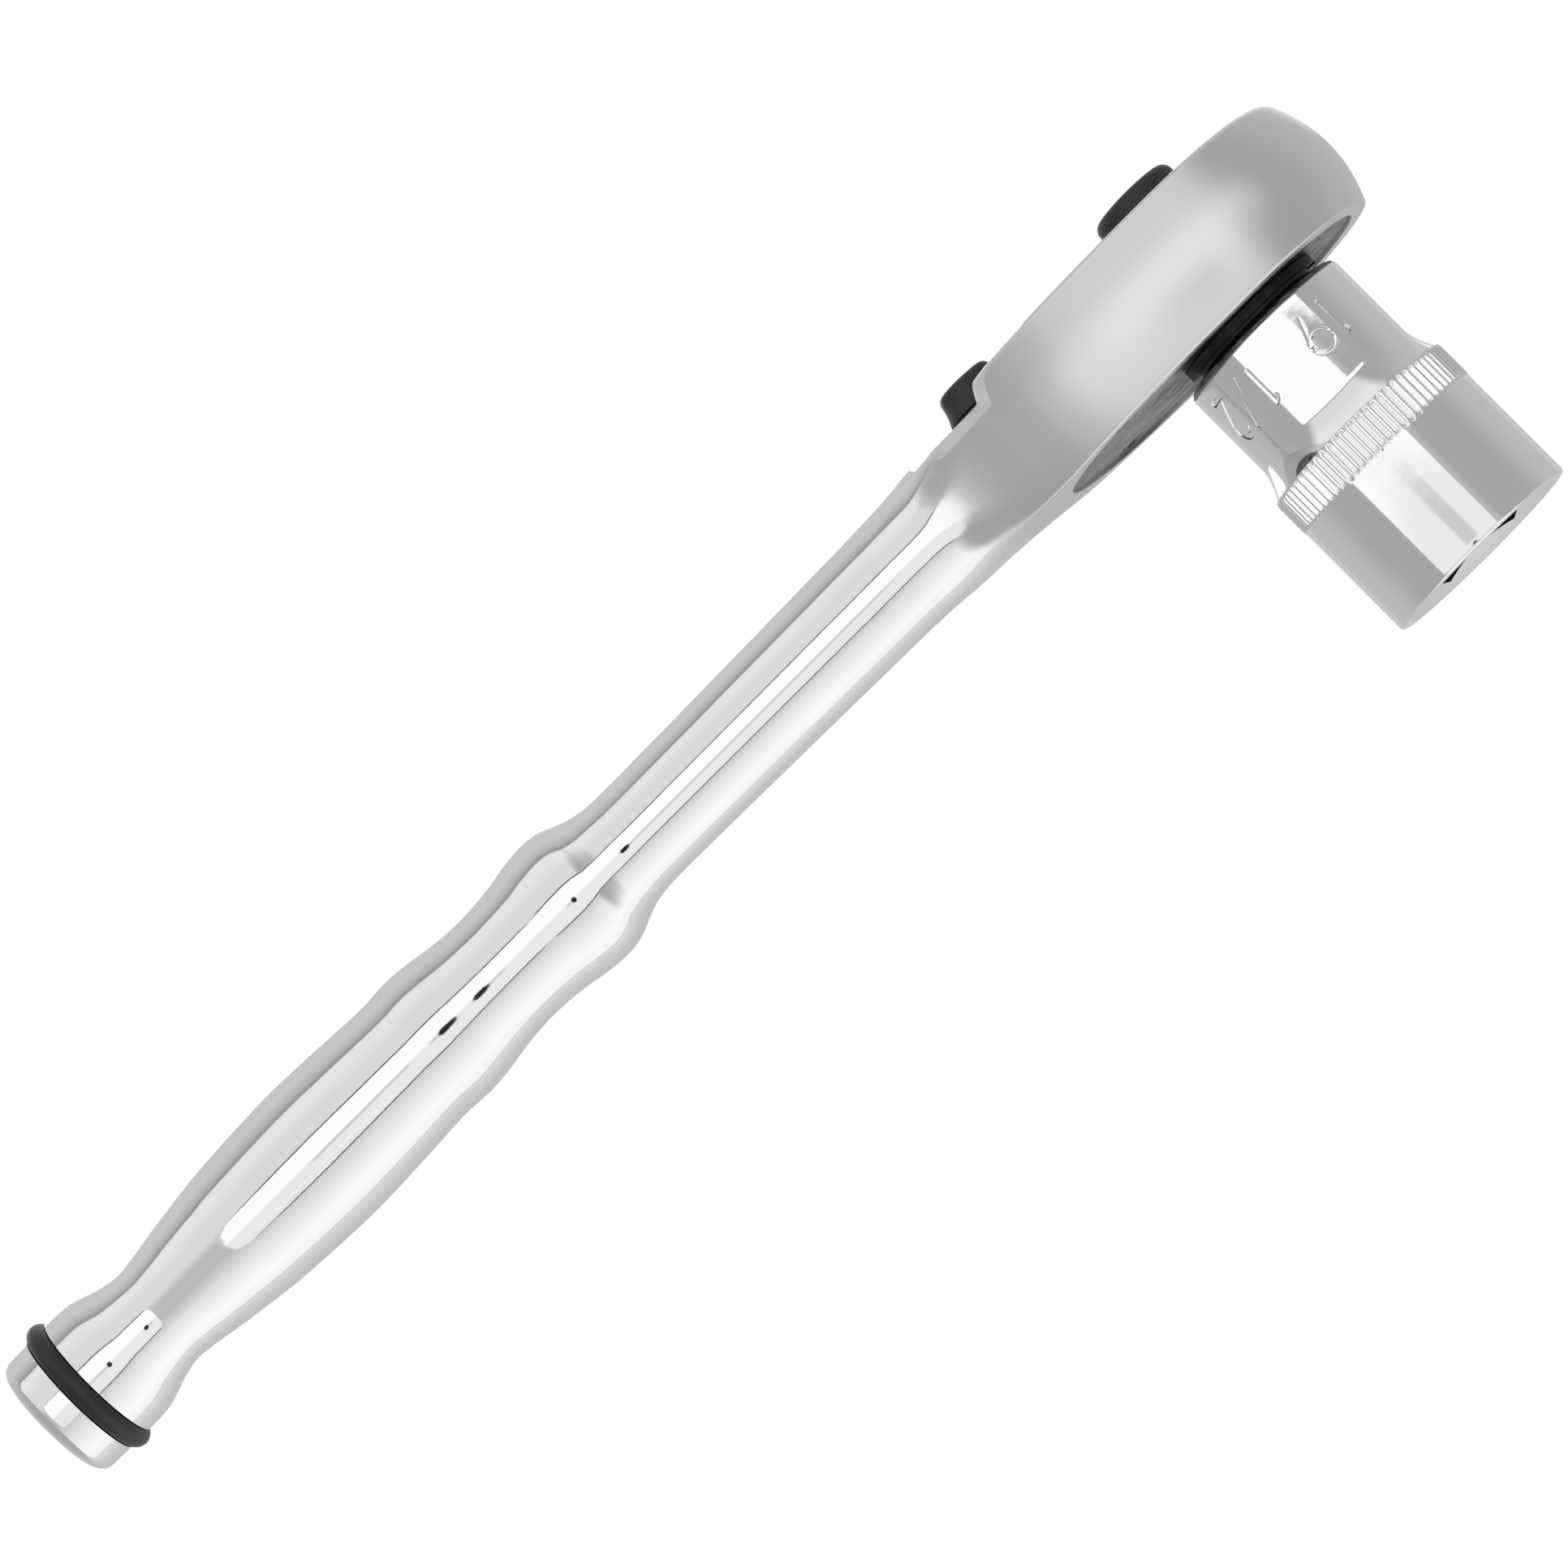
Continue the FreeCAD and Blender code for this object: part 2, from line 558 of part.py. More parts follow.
# ---- reversing lever ----
def make_reversing_lever():
    """Hub disc with a raised thumb tab, turned to one end of its throw."""
    hub = cylinder(HUB_RADIUS, HUB_BOTTOM, HUB_TOP, LEVER_X)
    near = cylinder(TAB_RADIUS, TAB_BOTTOM, TAB_TOP, LEVER_X - TAB_NEAR)
    far = cylinder(TAB_RADIUS, TAB_BOTTOM, TAB_TOP, LEVER_X - TAB_FAR)
    middle = box(LEVER_X - TAB_FAR, LEVER_X - TAB_NEAR, TAB_RADIUS, TAB_BOTTOM, TAB_TOP)
    tab = near.fuse([far, middle]).removeSplitter()
    rims = [edge for edge in tab.Edges if edge.BoundBox.ZMin > TAB_TOP - 0.01]
    tab = tab.makeFillet(TAB_EDGE_RADIUS, rims)
    lever = hub.fuse(tab).removeSplitter()
    socket = cylinder(STEM_SPIGOT_RADIUS, HUB_BOTTOM, STEM_SPIGOT_TOP, LEVER_X)
    return about_lever(lever.cut(socket))


def make_lever_stem():
    """Steel stem pressed into the hub, bored across for the plunger."""
    stem = cylinder(STEM_RADIUS, STEM_BOTTOM, HUB_BOTTOM, LEVER_X)
    spigot = cylinder(STEM_SPIGOT_RADIUS, HUB_BOTTOM, STEM_SPIGOT_TOP, LEVER_X)
    groove = ring(STEM_RADIUS + 1, CIRCLIP_GROOVE_RADIUS, CIRCLIP_BOTTOM, CIRCLIP_TOP, LEVER_X)
    bore_start = Vector(LEVER_X + PLUNGER_BORE_REACH, 0, PLUNGER_Z)
    bore = Part.makeCylinder(PLUNGER_RADIUS + RUNNING_CLEARANCE, 2 * STEM_RADIUS, bore_start, ALONG)
    return about_lever(stem.fuse(spigot).removeSplitter().cut([groove, bore]))


def make_lever_circlip():
    radii = (CIRCLIP_RADIUS, CIRCLIP_GROOVE_RADIUS)
    return about_lever(split_ring(*radii, CIRCLIP_BOTTOM, CIRCLIP_TOP, CIRCLIP_GAP, LEVER_X))


def make_lever_seal():
    centre = Vector(LEVER_X, 0, (SEAL_POCKET_FLOOR + LEVER_FLOOR) / 2)
    return Part.makeTorus(SEAL_RADIUS, SEAL_CORD_RADIUS, centre, UP)


def make_pawl_plunger():
    start = Vector(LEVER_X + PLUNGER_TAIL_REACH, 0, PLUNGER_Z)
    length = PLUNGER_NOSE_REACH - PLUNGER_TAIL_REACH
    barrel = Part.makeCylinder(PLUNGER_RADIUS, length, start, ALONG)
    nose = Part.makeSphere(PLUNGER_RADIUS, Vector(LEVER_X + PLUNGER_NOSE_REACH, 0, PLUNGER_Z))
    return about_lever(barrel.fuse(nose).removeSplitter())


def make_plunger_spring():
    length = PLUNGER_TAIL_REACH - PLUNGER_BORE_REACH - SPRING_END_GAP
    spring = coil_spring(PLUNGER_SPRING_RADIUS, PLUNGER_SPRING_WIRE, SPRING_TURNS, length)
    spring.rotate(CENTRE, Vector(0, 1, 0), 90)
    spring.translate(Vector(LEVER_X + PLUNGER_BORE_REACH + SPRING_END_GAP / 2, 0, PLUNGER_Z))
    return about_lever(spring)


# ---- socket ----
def socket_blank():
    """Turned outside: rounded drive end, concave flare and plain mouth end with a rounded edge."""
    small = SOCKET_SMALL_RADIUS
    large = SOCKET_LARGE_RADIUS
    edge_inset = SOCKET_EDGE * (1 - math.sqrt(0.5))
    edge_start = Vector(small - SOCKET_EDGE, 0, SOCKET_TOP)
    edge_end = Vector(small, 0, SOCKET_TOP - SOCKET_EDGE)
    edge_middle = Vector(small - edge_inset, 0, SOCKET_TOP - edge_inset)
    flare_start = Vector(small, 0, FLARE_TOP)
    flare_end = Vector(large, 0, FLARE_BOTTOM)
    flare_middle = (flare_start + flare_end) / 2 - FLARE_SAG * (large - small) * ALONG
    mouth_inset = MOUTH_EDGE * (1 - math.sqrt(0.5))
    round_start = Vector(large, 0, SOCKET_MOUTH + MOUTH_EDGE)
    round_end = Vector(large - MOUTH_EDGE, 0, SOCKET_MOUTH)
    round_middle = Vector(large - mouth_inset, 0, SOCKET_MOUTH + mouth_inset)
    foot = Vector(0, 0, SOCKET_MOUTH)
    head = Vector(0, 0, SOCKET_TOP)
    return turned([
        line(head, edge_start),
        Part.Arc(edge_start, edge_middle, edge_end).toShape(),
        line(edge_end, flare_start),
        Part.Arc(flare_start, flare_middle, flare_end).toShape(),
        line(flare_end, round_start),
        Part.Arc(round_start, round_middle, round_end).toShape(),
        line(round_end, foot),
        line(foot, head),
    ], CENTRE, UP)


def make_socket():
    blank = socket_blank()
    band = ring(SOCKET_LARGE_RADIUS + 1, KNURL_ROOT_RADIUS - 1, KNURL_BOTTOM, KNURL_TOP)
    knurl = toothed_prism(KNURL_RADIUS, KNURL_ROOT_RADIUS, KNURL_COUNT, KNURL_BOTTOM, KNURL_TOP)
    blank = blank.cut(band).fuse(knurl)
    square = square_bar(SOCKET_SQUARE, SOCKET_SQUARE_END, SOCKET_TOP)
    relief = cylinder(SOCKET_RELIEF_RADIUS, HEX_TOP, SOCKET_SQUARE_END)
    hexagonal = hexagon(HEX_FLATS, SOCKET_MOUTH, HEX_TOP)
    lead_in = Part.makeCone(MOUTH_CONE_RADIUS, MOUTH_CONE_END_RADIUS, MOUTH_CONE_DEPTH,
                            Vector(0, 0, SOCKET_MOUTH), UP)
    groove_low = BALL_Z - BALL_GROOVE_HALF_HEIGHT
    groove_high = BALL_Z + BALL_GROOVE_HALF_HEIGHT
    groove = cylinder(BALL_GROOVE_RADIUS, groove_low, groove_high)
    flute = box(0.0, FLUTE_REACH, FLUTE_WIDTH / 2, groove_low, SOCKET_TOP)
    return blank.cut([square, relief, hexagonal, lead_in, groove, flute]).removeSplitter()


# ---- write one file per piece ----
PIECES = {
    "ratchet_body": make_ratchet_body,
    "cover_plate": make_cover_plate,
    "cover_screws": make_cover_screws,
    "grip_ring": make_grip_ring,
    "drive_gear": make_drive_gear,
    "gear_retaining_ring": make_gear_retaining_ring,
    "gear_washer": make_gear_washer,
    "release_button": make_release_button,
    "release_pin": make_release_pin,
    "release_spring": make_release_spring,
    "detent_ball": make_detent_ball,
    "pawl": make_pawl,
    "pawl_pivot_pin": make_pawl_pivot_pin,
    "reversing_lever": make_reversing_lever,
    "lever_stem": make_lever_stem,
    "lever_circlip": make_lever_circlip,
    "lever_seal": make_lever_seal,
    "pawl_plunger": make_pawl_plunger,
    "plunger_spring": make_plunger_spring,
    "socket": make_socket,
}

os.makedirs("parts", exist_ok=True)
for name, make in PIECES.items():
    make().exportStep(f"parts/{name}.step")
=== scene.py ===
import json
import math

import bmesh
import bpy
import numpy as np
from mathutils import Matrix, Vector


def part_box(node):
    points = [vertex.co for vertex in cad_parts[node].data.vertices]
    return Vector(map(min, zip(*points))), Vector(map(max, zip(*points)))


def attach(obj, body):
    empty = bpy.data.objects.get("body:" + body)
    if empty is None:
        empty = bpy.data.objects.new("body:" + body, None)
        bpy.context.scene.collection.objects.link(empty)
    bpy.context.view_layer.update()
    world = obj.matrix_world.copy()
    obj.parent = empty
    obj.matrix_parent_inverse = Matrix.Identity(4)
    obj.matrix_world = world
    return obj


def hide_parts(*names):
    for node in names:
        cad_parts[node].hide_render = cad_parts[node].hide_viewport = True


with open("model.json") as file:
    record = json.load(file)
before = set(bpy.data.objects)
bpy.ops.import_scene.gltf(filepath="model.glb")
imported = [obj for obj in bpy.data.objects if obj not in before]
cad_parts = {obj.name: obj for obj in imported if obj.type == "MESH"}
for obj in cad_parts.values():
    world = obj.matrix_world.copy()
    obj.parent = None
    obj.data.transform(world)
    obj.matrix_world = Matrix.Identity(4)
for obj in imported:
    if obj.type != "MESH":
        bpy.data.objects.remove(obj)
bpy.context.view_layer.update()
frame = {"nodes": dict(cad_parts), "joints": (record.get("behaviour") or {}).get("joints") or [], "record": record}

MM = 0.001

# ---- driving dimensions, read from the frame, in millimetres ----


def node_box(node):
    """Lowest and highest corner of a CAD node in millimetres."""
    low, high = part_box(node)
    return low / MM, high / MM


BODY_LOW, BODY_HIGH = node_box("ratchet_body")
RING_LOW, RING_HIGH = node_box("grip_ring")
BUTTON_LOW, BUTTON_HIGH = node_box("release_button")
SOCKET_LOW, SOCKET_HIGH = node_box("socket")
PLATE_LOW, PLATE_HIGH = node_box("cover_plate")
LEVER_LOW, LEVER_HIGH = node_box("reversing_lever")

HANDLE_Z = (RING_LOW.z + RING_HIGH.z) / 2
BUTT_X = BODY_LOW.x
HEAD_RADIUS = BODY_HIGH.y
HEAD_TOP = 19.0
PLATE_SINK = 0.4
HEAD_BOTTOM = PLATE_LOW.z - PLATE_SINK
LEVER_X = next(j for j in frame["joints"] if j["name"] == "lever_turn")["pos_m"][0] / MM
LEVER_GAP = 0.1
LEVER_FLOOR = LEVER_LOW.z - LEVER_GAP


# ---- mesh helpers ----
def add_mesh(name, points, faces, weld=True):
    """New object from points in millimetres; optional weld of coincident points."""
    mesh = bpy.data.meshes.new(name)
    mesh.from_pydata([tuple(c * MM for c in p) for p in points], [], faces)
    work = bmesh.new()
    work.from_mesh(mesh)
    if weld:
        bmesh.ops.remove_doubles(work, verts=work.verts, dist=0.0004 * MM)
    bmesh.ops.dissolve_degenerate(work, dist=0.0002 * MM, edges=work.edges)
    bmesh.ops.recalc_face_normals(work, faces=work.faces)
    work.to_mesh(mesh)
    work.free()
    obj = bpy.data.objects.new(name, mesh)
    bpy.context.scene.collection.objects.link(obj)
    return obj


def grid_faces(columns, rows, closed):
    """Quads of a grid stored column by column."""
    faces = []
    for i in range(columns if closed else columns - 1):
        nxt = (i + 1) % columns
        for j in range(rows - 1):
            faces.append((i * rows + j, nxt * rows + j, nxt * rows + j + 1, i * rows + j + 1))
    return faces


def lathe(name, profile, segments, centre=(0, 0)):
    """Solid turned about an upright axis from (radius, z) points that start and end on it."""
    points = []
    for i in range(segments):
        angle = 2 * math.pi * i / segments
        for radius, z in profile:
            points.append((centre[0] + radius * math.cos(angle), centre[1] + radius * math.sin(angle), z))
    return add_mesh(name, points, grid_faces(segments, len(profile), True))


def arc(centre, radius, start, end, steps):
    """Points on an arc, angles in degrees."""
    angles = [math.radians(start + (end - start) * i / steps) for i in range(steps + 1)]
    return [(centre[0] + radius * math.cos(a), centre[1] + radius * math.sin(a)) for a in angles]


def prism(name, outline, bottom, top):
    """Upright prism on a closed outline."""
    count = len(outline)
    points = [(x, y, bottom) for x, y in outline] + [(x, y, top) for x, y in outline]
    faces = [tuple(range(count))[::-1], tuple(range(count, 2 * count))]
    for i in range(count):
        nxt = (i + 1) % count
        faces.append((i, nxt, count + nxt, count + i))
    return add_mesh(name, points, faces)


def circle(radius, steps=128, x=0.0):
    """Closed outline of a circle whose centre is at x."""
    return [(x + px, py) for px, py in arc((0, 0), radius, 0, 360 * (1 - 1 / steps), steps - 1)]


def obround(radius, rear_x, steps=96):
    """Outline of two half circles joined by straight sides."""
    front = arc((0, 0), radius, -90, 90, steps)
    rear = arc((rear_x, 0), radius, 90, 270, steps)
    return front + rear


def apply_modifiers(obj):
    """Bake the modifiers into the mesh."""
    graph = bpy.context.evaluated_depsgraph_get()
    mesh = bpy.data.meshes.new_from_object(obj.evaluated_get(graph))
    obj.modifiers.clear()
    old = obj.data
    obj.data = mesh
    bpy.data.meshes.remove(old)


def cut(obj, cutters):
    """Subtract closed cutters, one after another, and delete them."""
    for cutter in cutters:
        modifier = obj.modifiers.new("cut", "BOOLEAN")
        modifier.operation = "DIFFERENCE"
        modifier.solver = "MANIFOLD"
        modifier.object = cutter
        bpy.context.view_layer.update()
        apply_modifiers(obj)
        mesh = cutter.data
        bpy.data.objects.remove(cutter)
        bpy.data.meshes.remove(mesh)


def shade(obj, degrees=30):
    """Smooth shading with sharp edges kept above an angle."""
    mesh = obj.data
    mesh.polygons.foreach_set("use_smooth", [True] * len(mesh.polygons))
    mesh.set_sharp_from_angle(angle=math.radians(degrees))


def finish_piece(obj, body, material, slot, *nodes):
    """Material, riding body and the CAD nodes that the piece stands for."""
    obj.data.materials.clear()
    obj.data.materials.append(material)
    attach(obj, body)
    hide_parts(*nodes)


# ---- node material helpers ----
class Nodes:
    """Small helper that adds and links shader nodes."""

    def __init__(self, tree):
        self.tree = tree
        self.tree.nodes.clear()

    def add(self, kind, inputs=None, **settings):
        node = self.tree.nodes.new(kind)
        for key, value in settings.items():
            setattr(node, key, value)
        for key, value in (inputs or {}).items():
            if isinstance(value, bpy.types.NodeSocket):
                self.tree.links.new(value, node.inputs[key])
            else:
                node.inputs[key].default_value = value
        return node

    def math(self, operation, a, b=0.0, c=0.0):
        node = self.add("ShaderNodeMath", {0: a, 1: b, 2: c}, operation=operation)
        return node.outputs[0]

    def dot(self, vector, constant):
        node = self.add("ShaderNodeVectorMath", {0: vector, 1: constant}, operation="DOT_PRODUCT")
        return node.outputs["Value"]

    def between(self, value, low, high, result_low=0.0, result_high=1.0):
        """Smooth step from one result to the other as the value goes from low to high."""
        inputs = {"Value": value, "From Min": low, "From Max": high}
        inputs.update({"To Min": result_low, "To Max": result_high})
        node = self.add("ShaderNodeMapRange", inputs, interpolation_type="SMOOTHSTEP")
        return node.outputs[0]

    def mix(self, factor, a, b):
        node = self.add("ShaderNodeMix", data_type="RGBA")
        for key, value in ((0, factor), (6, a), (7, b)):
            if isinstance(value, bpy.types.NodeSocket):
                self.tree.links.new(value, node.inputs[key])
            else:
                node.inputs[key].default_value = value
        return node.outputs[2]

    def ramp(self, value, stops):
        """Colour ramp through (position, colour) stops."""
        node = self.add("ShaderNodeValToRGB", {0: value})
        elements = node.color_ramp.elements
        while len(elements) > 1:
            elements.remove(elements[-1])
        elements[0].position = stops[0][0]
        elements[0].color = stops[0][1]
        for position, colour in stops[1:]:
            elements.new(position).color = colour
        return node.outputs[0]

    def noise(self, scale, detail=3.0, roughness=0.5, vector=None):
        """Fine noise, in object space unless a vector is given."""
        values = {"Scale": scale, "Detail": detail, "Roughness": roughness}
        if vector is None:
            vector = self.add("ShaderNodeTexCoord").outputs["Object"]
        values["Vector"] = vector
        return self.add("ShaderNodeTexNoise", values).outputs["Fac"]

    def bump(self, height, distance, strength=1.0):
        node = self.add("ShaderNodeBump", {"Height": height, "Distance": distance, "Strength": strength})
        return node.outputs[0]

    def corner_distance(self, x, z, range_x, range_z, radius):
        """Distance from the rectangle that is smaller than the given one by a corner radius on every side."""
        outside = []
        for value, (low, high) in ((x, range_x), (z, range_z)):
            offset = self.math("ABSOLUTE", self.math("SUBTRACT", value, (low + high) / 2))
            beyond = self.math("SUBTRACT", offset, (high - low) / 2 - radius)
            outside.append(self.math("POWER", self.math("MAXIMUM", beyond, 0.0), 2.0))
        return self.math("SQRT", self.math("ADD", *outside))

    def miss(self, geometry, target):
        """How far the ray that goes on through this point passes from a target point."""
        there = self.add("ShaderNodeVectorMath", {0: tuple(target), 1: geometry.outputs["Position"]},
                         operation="SUBTRACT").outputs[0]
        incoming = geometry.outputs["Incoming"]
        share = self.math("DIVIDE", self.dot(there, tuple(FORWARD)), self.dot(incoming, tuple(FORWARD)))
        along = self.add("ShaderNodeVectorMath", {0: incoming, "Scale": share}, operation="SCALE").outputs[0]
        gap = self.add("ShaderNodeVectorMath", {0: there, 1: along}, operation="SUBTRACT").outputs[0]
        return self.add("ShaderNodeVectorMath", {0: gap}, operation="LENGTH").outputs["Value"]

    def surface(self, **inputs):
        values = {key.replace("_", " ").title().replace("Ior", "IOR"): value for key, value in inputs.items()}
        shader = self.add("ShaderNodeBsdfPrincipled", values)
        self.add("ShaderNodeOutputMaterial", {"Surface": shader.outputs[0]})
        return shader


def new_material(name):
    """Empty material and the helper that fills it."""
    material = bpy.data.materials.new(name)
    material.use_nodes = True
    return material, Nodes(material.node_tree)


def grey(value, tint=(1.0, 1.0, 1.0)):
    """Grey, or a tinted grey, as a colour with full alpha."""
    return (value * tint[0], value * tint[1], value * tint[2], 1.0)


COOL = (0.985, 1.0, 0.995)


# ---- materials ----
def chrome_material():
    """Polished chrome handle, a little softer on the sides of the head."""
    material, n = new_material("chrome_body")
    place = n.add("ShaderNodeTexCoord").outputs["Object"]
    x = n.add("ShaderNodeSeparateXYZ", {0: place}).outputs[0]
    head = n.between(x, -0.047, -0.034)
    smudge = n.between(n.noise(45.0, 4.0, 0.6), 0.45, 0.75)
    rough_head = n.math("MULTIPLY_ADD", smudge, 0.06, 0.31)
    rough_handle = n.math("MULTIPLY_ADD", smudge, 0.02, 0.045)
    difference = n.math("SUBTRACT", rough_head, rough_handle)
    rough = n.math("MULTIPLY_ADD", head, difference, rough_handle)
    tint = n.mix(smudge, grey(0.90, COOL), grey(0.87, COOL))
    tint = n.mix(head, tint, grey(0.79, COOL))
    peel = n.bump(n.noise(900.0, 2.0), 0.000004)
    n.surface(base_color=tint, metallic=1.0, roughness=rough, normal=peel)
    return material


def socket_material():
    """Polished chrome of the socket, with slight ripples from plating."""
    material, n = new_material("chrome_socket")
    smudge = n.between(n.noise(160.0, 4.0, 0.6), 0.4, 0.8)
    rough = n.math("MULTIPLY_ADD", smudge, 0.02, 0.06)
    tint = n.mix(smudge, grey(0.90, COOL), grey(0.87, COOL))
    ripple = n.bump(n.noise(420.0, 2.0), 0.000006)
    n.surface(base_color=tint, metallic=1.0, roughness=rough, normal=ripple)
    return material


def plate_material():
    """Satin ground cover plate, with painted shade, broken into blotches, that darkens it near the collar."""
    material, n = new_material("satin_plate")
    place = n.add("ShaderNodeTexCoord").outputs["Object"]
    parts = n.add("ShaderNodeSeparateXYZ", {0: place})
    squares = [n.math("POWER", part, 2.0) for part in parts.outputs[:2]]
    radius = n.math("SQRT", n.math("ADD", *squares))
    # Painted shade: the plate is darkened towards the collar, where the collar and the body's lip shade it.
    near = n.between(radius, 0.0125, 0.0195, 1.0, 0.0)
    blotch = n.between(n.noise(320.0, 6.0, 0.7), 0.42, 0.62)
    pits = n.between(n.noise(1500.0, 2.0, 0.5), 0.68, 0.74)
    painted_collar_shade = n.math("MULTIPLY", near, n.math("MULTIPLY_ADD", blotch, 0.6, 0.4))
    base = n.mix(painted_collar_shade, grey(0.19), grey(0.012))
    base = n.mix(n.math("MULTIPLY", pits, 0.8), base, grey(0.02))
    rough = n.math("MULTIPLY_ADD", blotch, 0.12, 0.3)
    grain = n.bump(n.noise(2600.0, 3.0), 0.00002, 0.6)
    n.surface(base_color=base, metallic=0.9, roughness=rough, normal=grain)
    return material


def black_steel_material():
    """Oiled black phosphate steel."""
    material, n = new_material("black_steel")
    blotch = n.noise(500.0, 5.0, 0.7)
    base = n.mix(n.between(blotch, 0.4, 0.7), grey(0.012), grey(0.035))
    rough = n.between(blotch, 0.3, 0.8, 0.28, 0.5)
    grain = n.bump(n.noise(3000.0, 3.0), 0.00003, 0.5)
    n.surface(base_color=base, metallic=0.4, roughness=rough, normal=grain)
    return material


def steel_material(name, value, rough, tint=(1.0, 1.0, 1.0)):
    """Turned or drawn metal with fine lines around its axis."""
    material, n = new_material(name)
    place = n.add("ShaderNodeTexCoord").outputs["Object"]
    stretched = n.add("ShaderNodeMapping", {"Vector": place, "Scale": (1.0, 1.0, 30.0)}).outputs[0]
    lines = n.noise(900.0, 3.0, 0.6, stretched)
    base = n.mix(lines, grey(value * 0.85, tint), grey(value, tint))
    roughness = n.between(lines, 0.3, 0.7, rough * 0.8, rough * 1.25)
    n.surface(base_color=base, metallic=1.0, roughness=roughness, normal=n.bump(lines, 0.00001, 0.5))
    return material


def plastic_material():
    """Satin black moulded plastic with a fine grain."""
    material, n = new_material("black_plastic")
    cloud = n.noise(260.0, 3.0)
    base = n.mix(cloud, grey(0.016), grey(0.024))
    rough = n.between(cloud, 0.3, 0.7, 0.42, 0.52)
    grain = n.bump(n.noise(5200.0, 2.0), 0.00002, 0.35)
    n.surface(base_color=base, roughness=rough, normal=grain)
    return material


def rubber_material():
    """Black nitrile rubber, slightly dusty."""
    material, n = new_material("black_rubber")
    dust = n.between(n.noise(700.0, 5.0, 0.7), 0.5, 0.8)
    base = n.mix(dust, grey(0.012), grey(0.028))
    grain = n.bump(n.noise(4200.0, 3.0), 0.00003, 0.4)
    n.surface(base_color=base, roughness=n.math("MULTIPLY_ADD", dust, 0.15, 0.4), normal=grain)
    return material


MATERIALS = {
    "chrome_body": chrome_material(),
    "chrome_socket": socket_material(),
    "satin_plate": plate_material(),
    "black_steel": black_steel_material(),
    "bright_steel": steel_material("bright_steel", 0.60, 0.22),
    "spring_steel": steel_material("spring_steel", 0.38, 0.3),
    "brass": steel_material("brass", 0.75, 0.28, (1.0, 0.78, 0.38)),
    "black_plastic": plastic_material(),
    "black_rubber": rubber_material(),
}


# ---- ratchet body ----
# Half width of the head at its middle height: x and half width.
CHEEKS = np.array([
    (-64.0, 7.475), (-58.0, 7.575), (-54.0, 7.7), (-50.0, 7.95), (-46.0, 8.45), (-42.0, 9.45), (-37.0, 11.35),
    (-31.0, 14.3), (-25.0, 17.2), (-19.0, 19.5), (-13.0, 20.9), (-7.0, 21.6), (0.0, HEAD_RADIUS),
    (7.0, 21.6),
])
# Handle diameter at each swell, waist and run between them: x and diameter.
HANDLE = np.array([
    (-204.0, 18.0), (-201.0, 18.1), (-196.5, 18.25), (-192.5, 18.3), (-189.5, 18.0), (-187.5, 17.0),
    (-185.5, 15.6), (-182.5, 14.4), (-179.5, 15.0), (-175.5, 16.3), (-171.5, 17.4), (-167.5, 18.4),
    (-163.5, 19.0), (-159.5, 19.45), (-153.0, 19.8), (-144.5, 19.2), (-137.5, 18.5), (-133.0, 18.9),
    (-129.5, 18.3), (-125.5, 17.1), (-122.0, 16.6), (-118.5, 16.8), (-115.5, 17.5), (-112.5, 18.5),
    (-109.0, 19.0), (-106.5, 18.2), (-104.5, 16.6), (-102.5, 15.1), (-100.5, 14.35), (-98.0, 14.1),
    (-90.0, 14.2), (-78.5, 14.5), (-61.5, 15.0), (-53.5, 15.3), (-48.5, 15.7), (-44.5, 16.3), (-40.0, 16.7),
])
BUTT_ROUND = 1.8
BUTT_DOME = 0.15
EDGE_STEPS = 16
SIDE_STEPS = 78
FLAT_STEPS = 24
EVEN = np.linspace(0, 1, 2 * FLAT_STEPS + 2 * (EDGE_STEPS + 1) + SIDE_STEPS)
NOSE_STEPS = 120
NOSE_SQUARENESS = 2.1
# How the side bulges, as a quadratic coefficient, and the radius of its upper edge: cheeks, then nose.
BARREL = (0.015, 0.028)
TOP_EDGE = (0.7, 2.2)
BOTTOM_EDGE = 0.5
LAND_CHAMFER_WIDTH = 3.6
LAND_CHAMFER_DROP = 2.0
LAND_EDGE = 0.5
COARSE = np.linspace(0, 1, 601)
# Pockets and bores in the head; the plate's recess and the pawl's pocket share a rear centre.
REAR_CENTRE_X = -13.0
RECESS_RADIUS = 17.43
GEAR_POCKET_RADIUS = 13.0
PAWL_POCKET_RADIUS = 11.8
STEM_POCKET_RADIUS = 4.4
HUB_POCKET_RADIUS = 8.4
JOURNAL_BORE_RADIUS = 8.06
STEM_BORE_RADIUS = 3.56
CAVITY_TOP = 14.0
# Part of the body, from the neck to the cheeks, that the lever's land can cut.
LAND_X = (-45.5, -20.0)
GROOVE_GAP = 0.06


def smooth_curve(table, x):
    """Cubic through the table's points, with slopes from their neighbours."""
    xs, ys = table[:, 0], table[:, 1]
    i = int(np.clip(np.searchsorted(xs, x) - 1, 1, len(xs) - 3))
    slopes = [(ys[k + 1] - ys[k - 1]) / (xs[k + 1] - xs[k - 1]) for k in (i, i + 1)]
    span = xs[i + 1] - xs[i]
    u = (x - xs[i]) / span
    first = (2 * u ** 3 - 3 * u ** 2 + 1) * ys[i] + (u ** 3 - 2 * u ** 2 + u) * span * slopes[0]
    second = (3 * u ** 2 - 2 * u ** 3) * ys[i + 1] + (u ** 3 - u ** 2) * span * slopes[1]
    return first + second


def ease(value, low, high):
    """Smooth step from 0 at low to 1 at high."""
    u = min(max((value - low) / (high - low), 0.0), 1.0)
    return u * u * (3 - 2 * u)


def handle_radius(x):
    """Radius of the turned handle, with the butt's edge rounded."""
    radius = smooth_curve(HANDLE, x) / 2
    depth = min(max(BUTT_X + BUTT_ROUND - x, 0.0), BUTT_ROUND)
    return radius - BUTT_ROUND + math.sqrt(BUTT_ROUND ** 2 - depth ** 2)


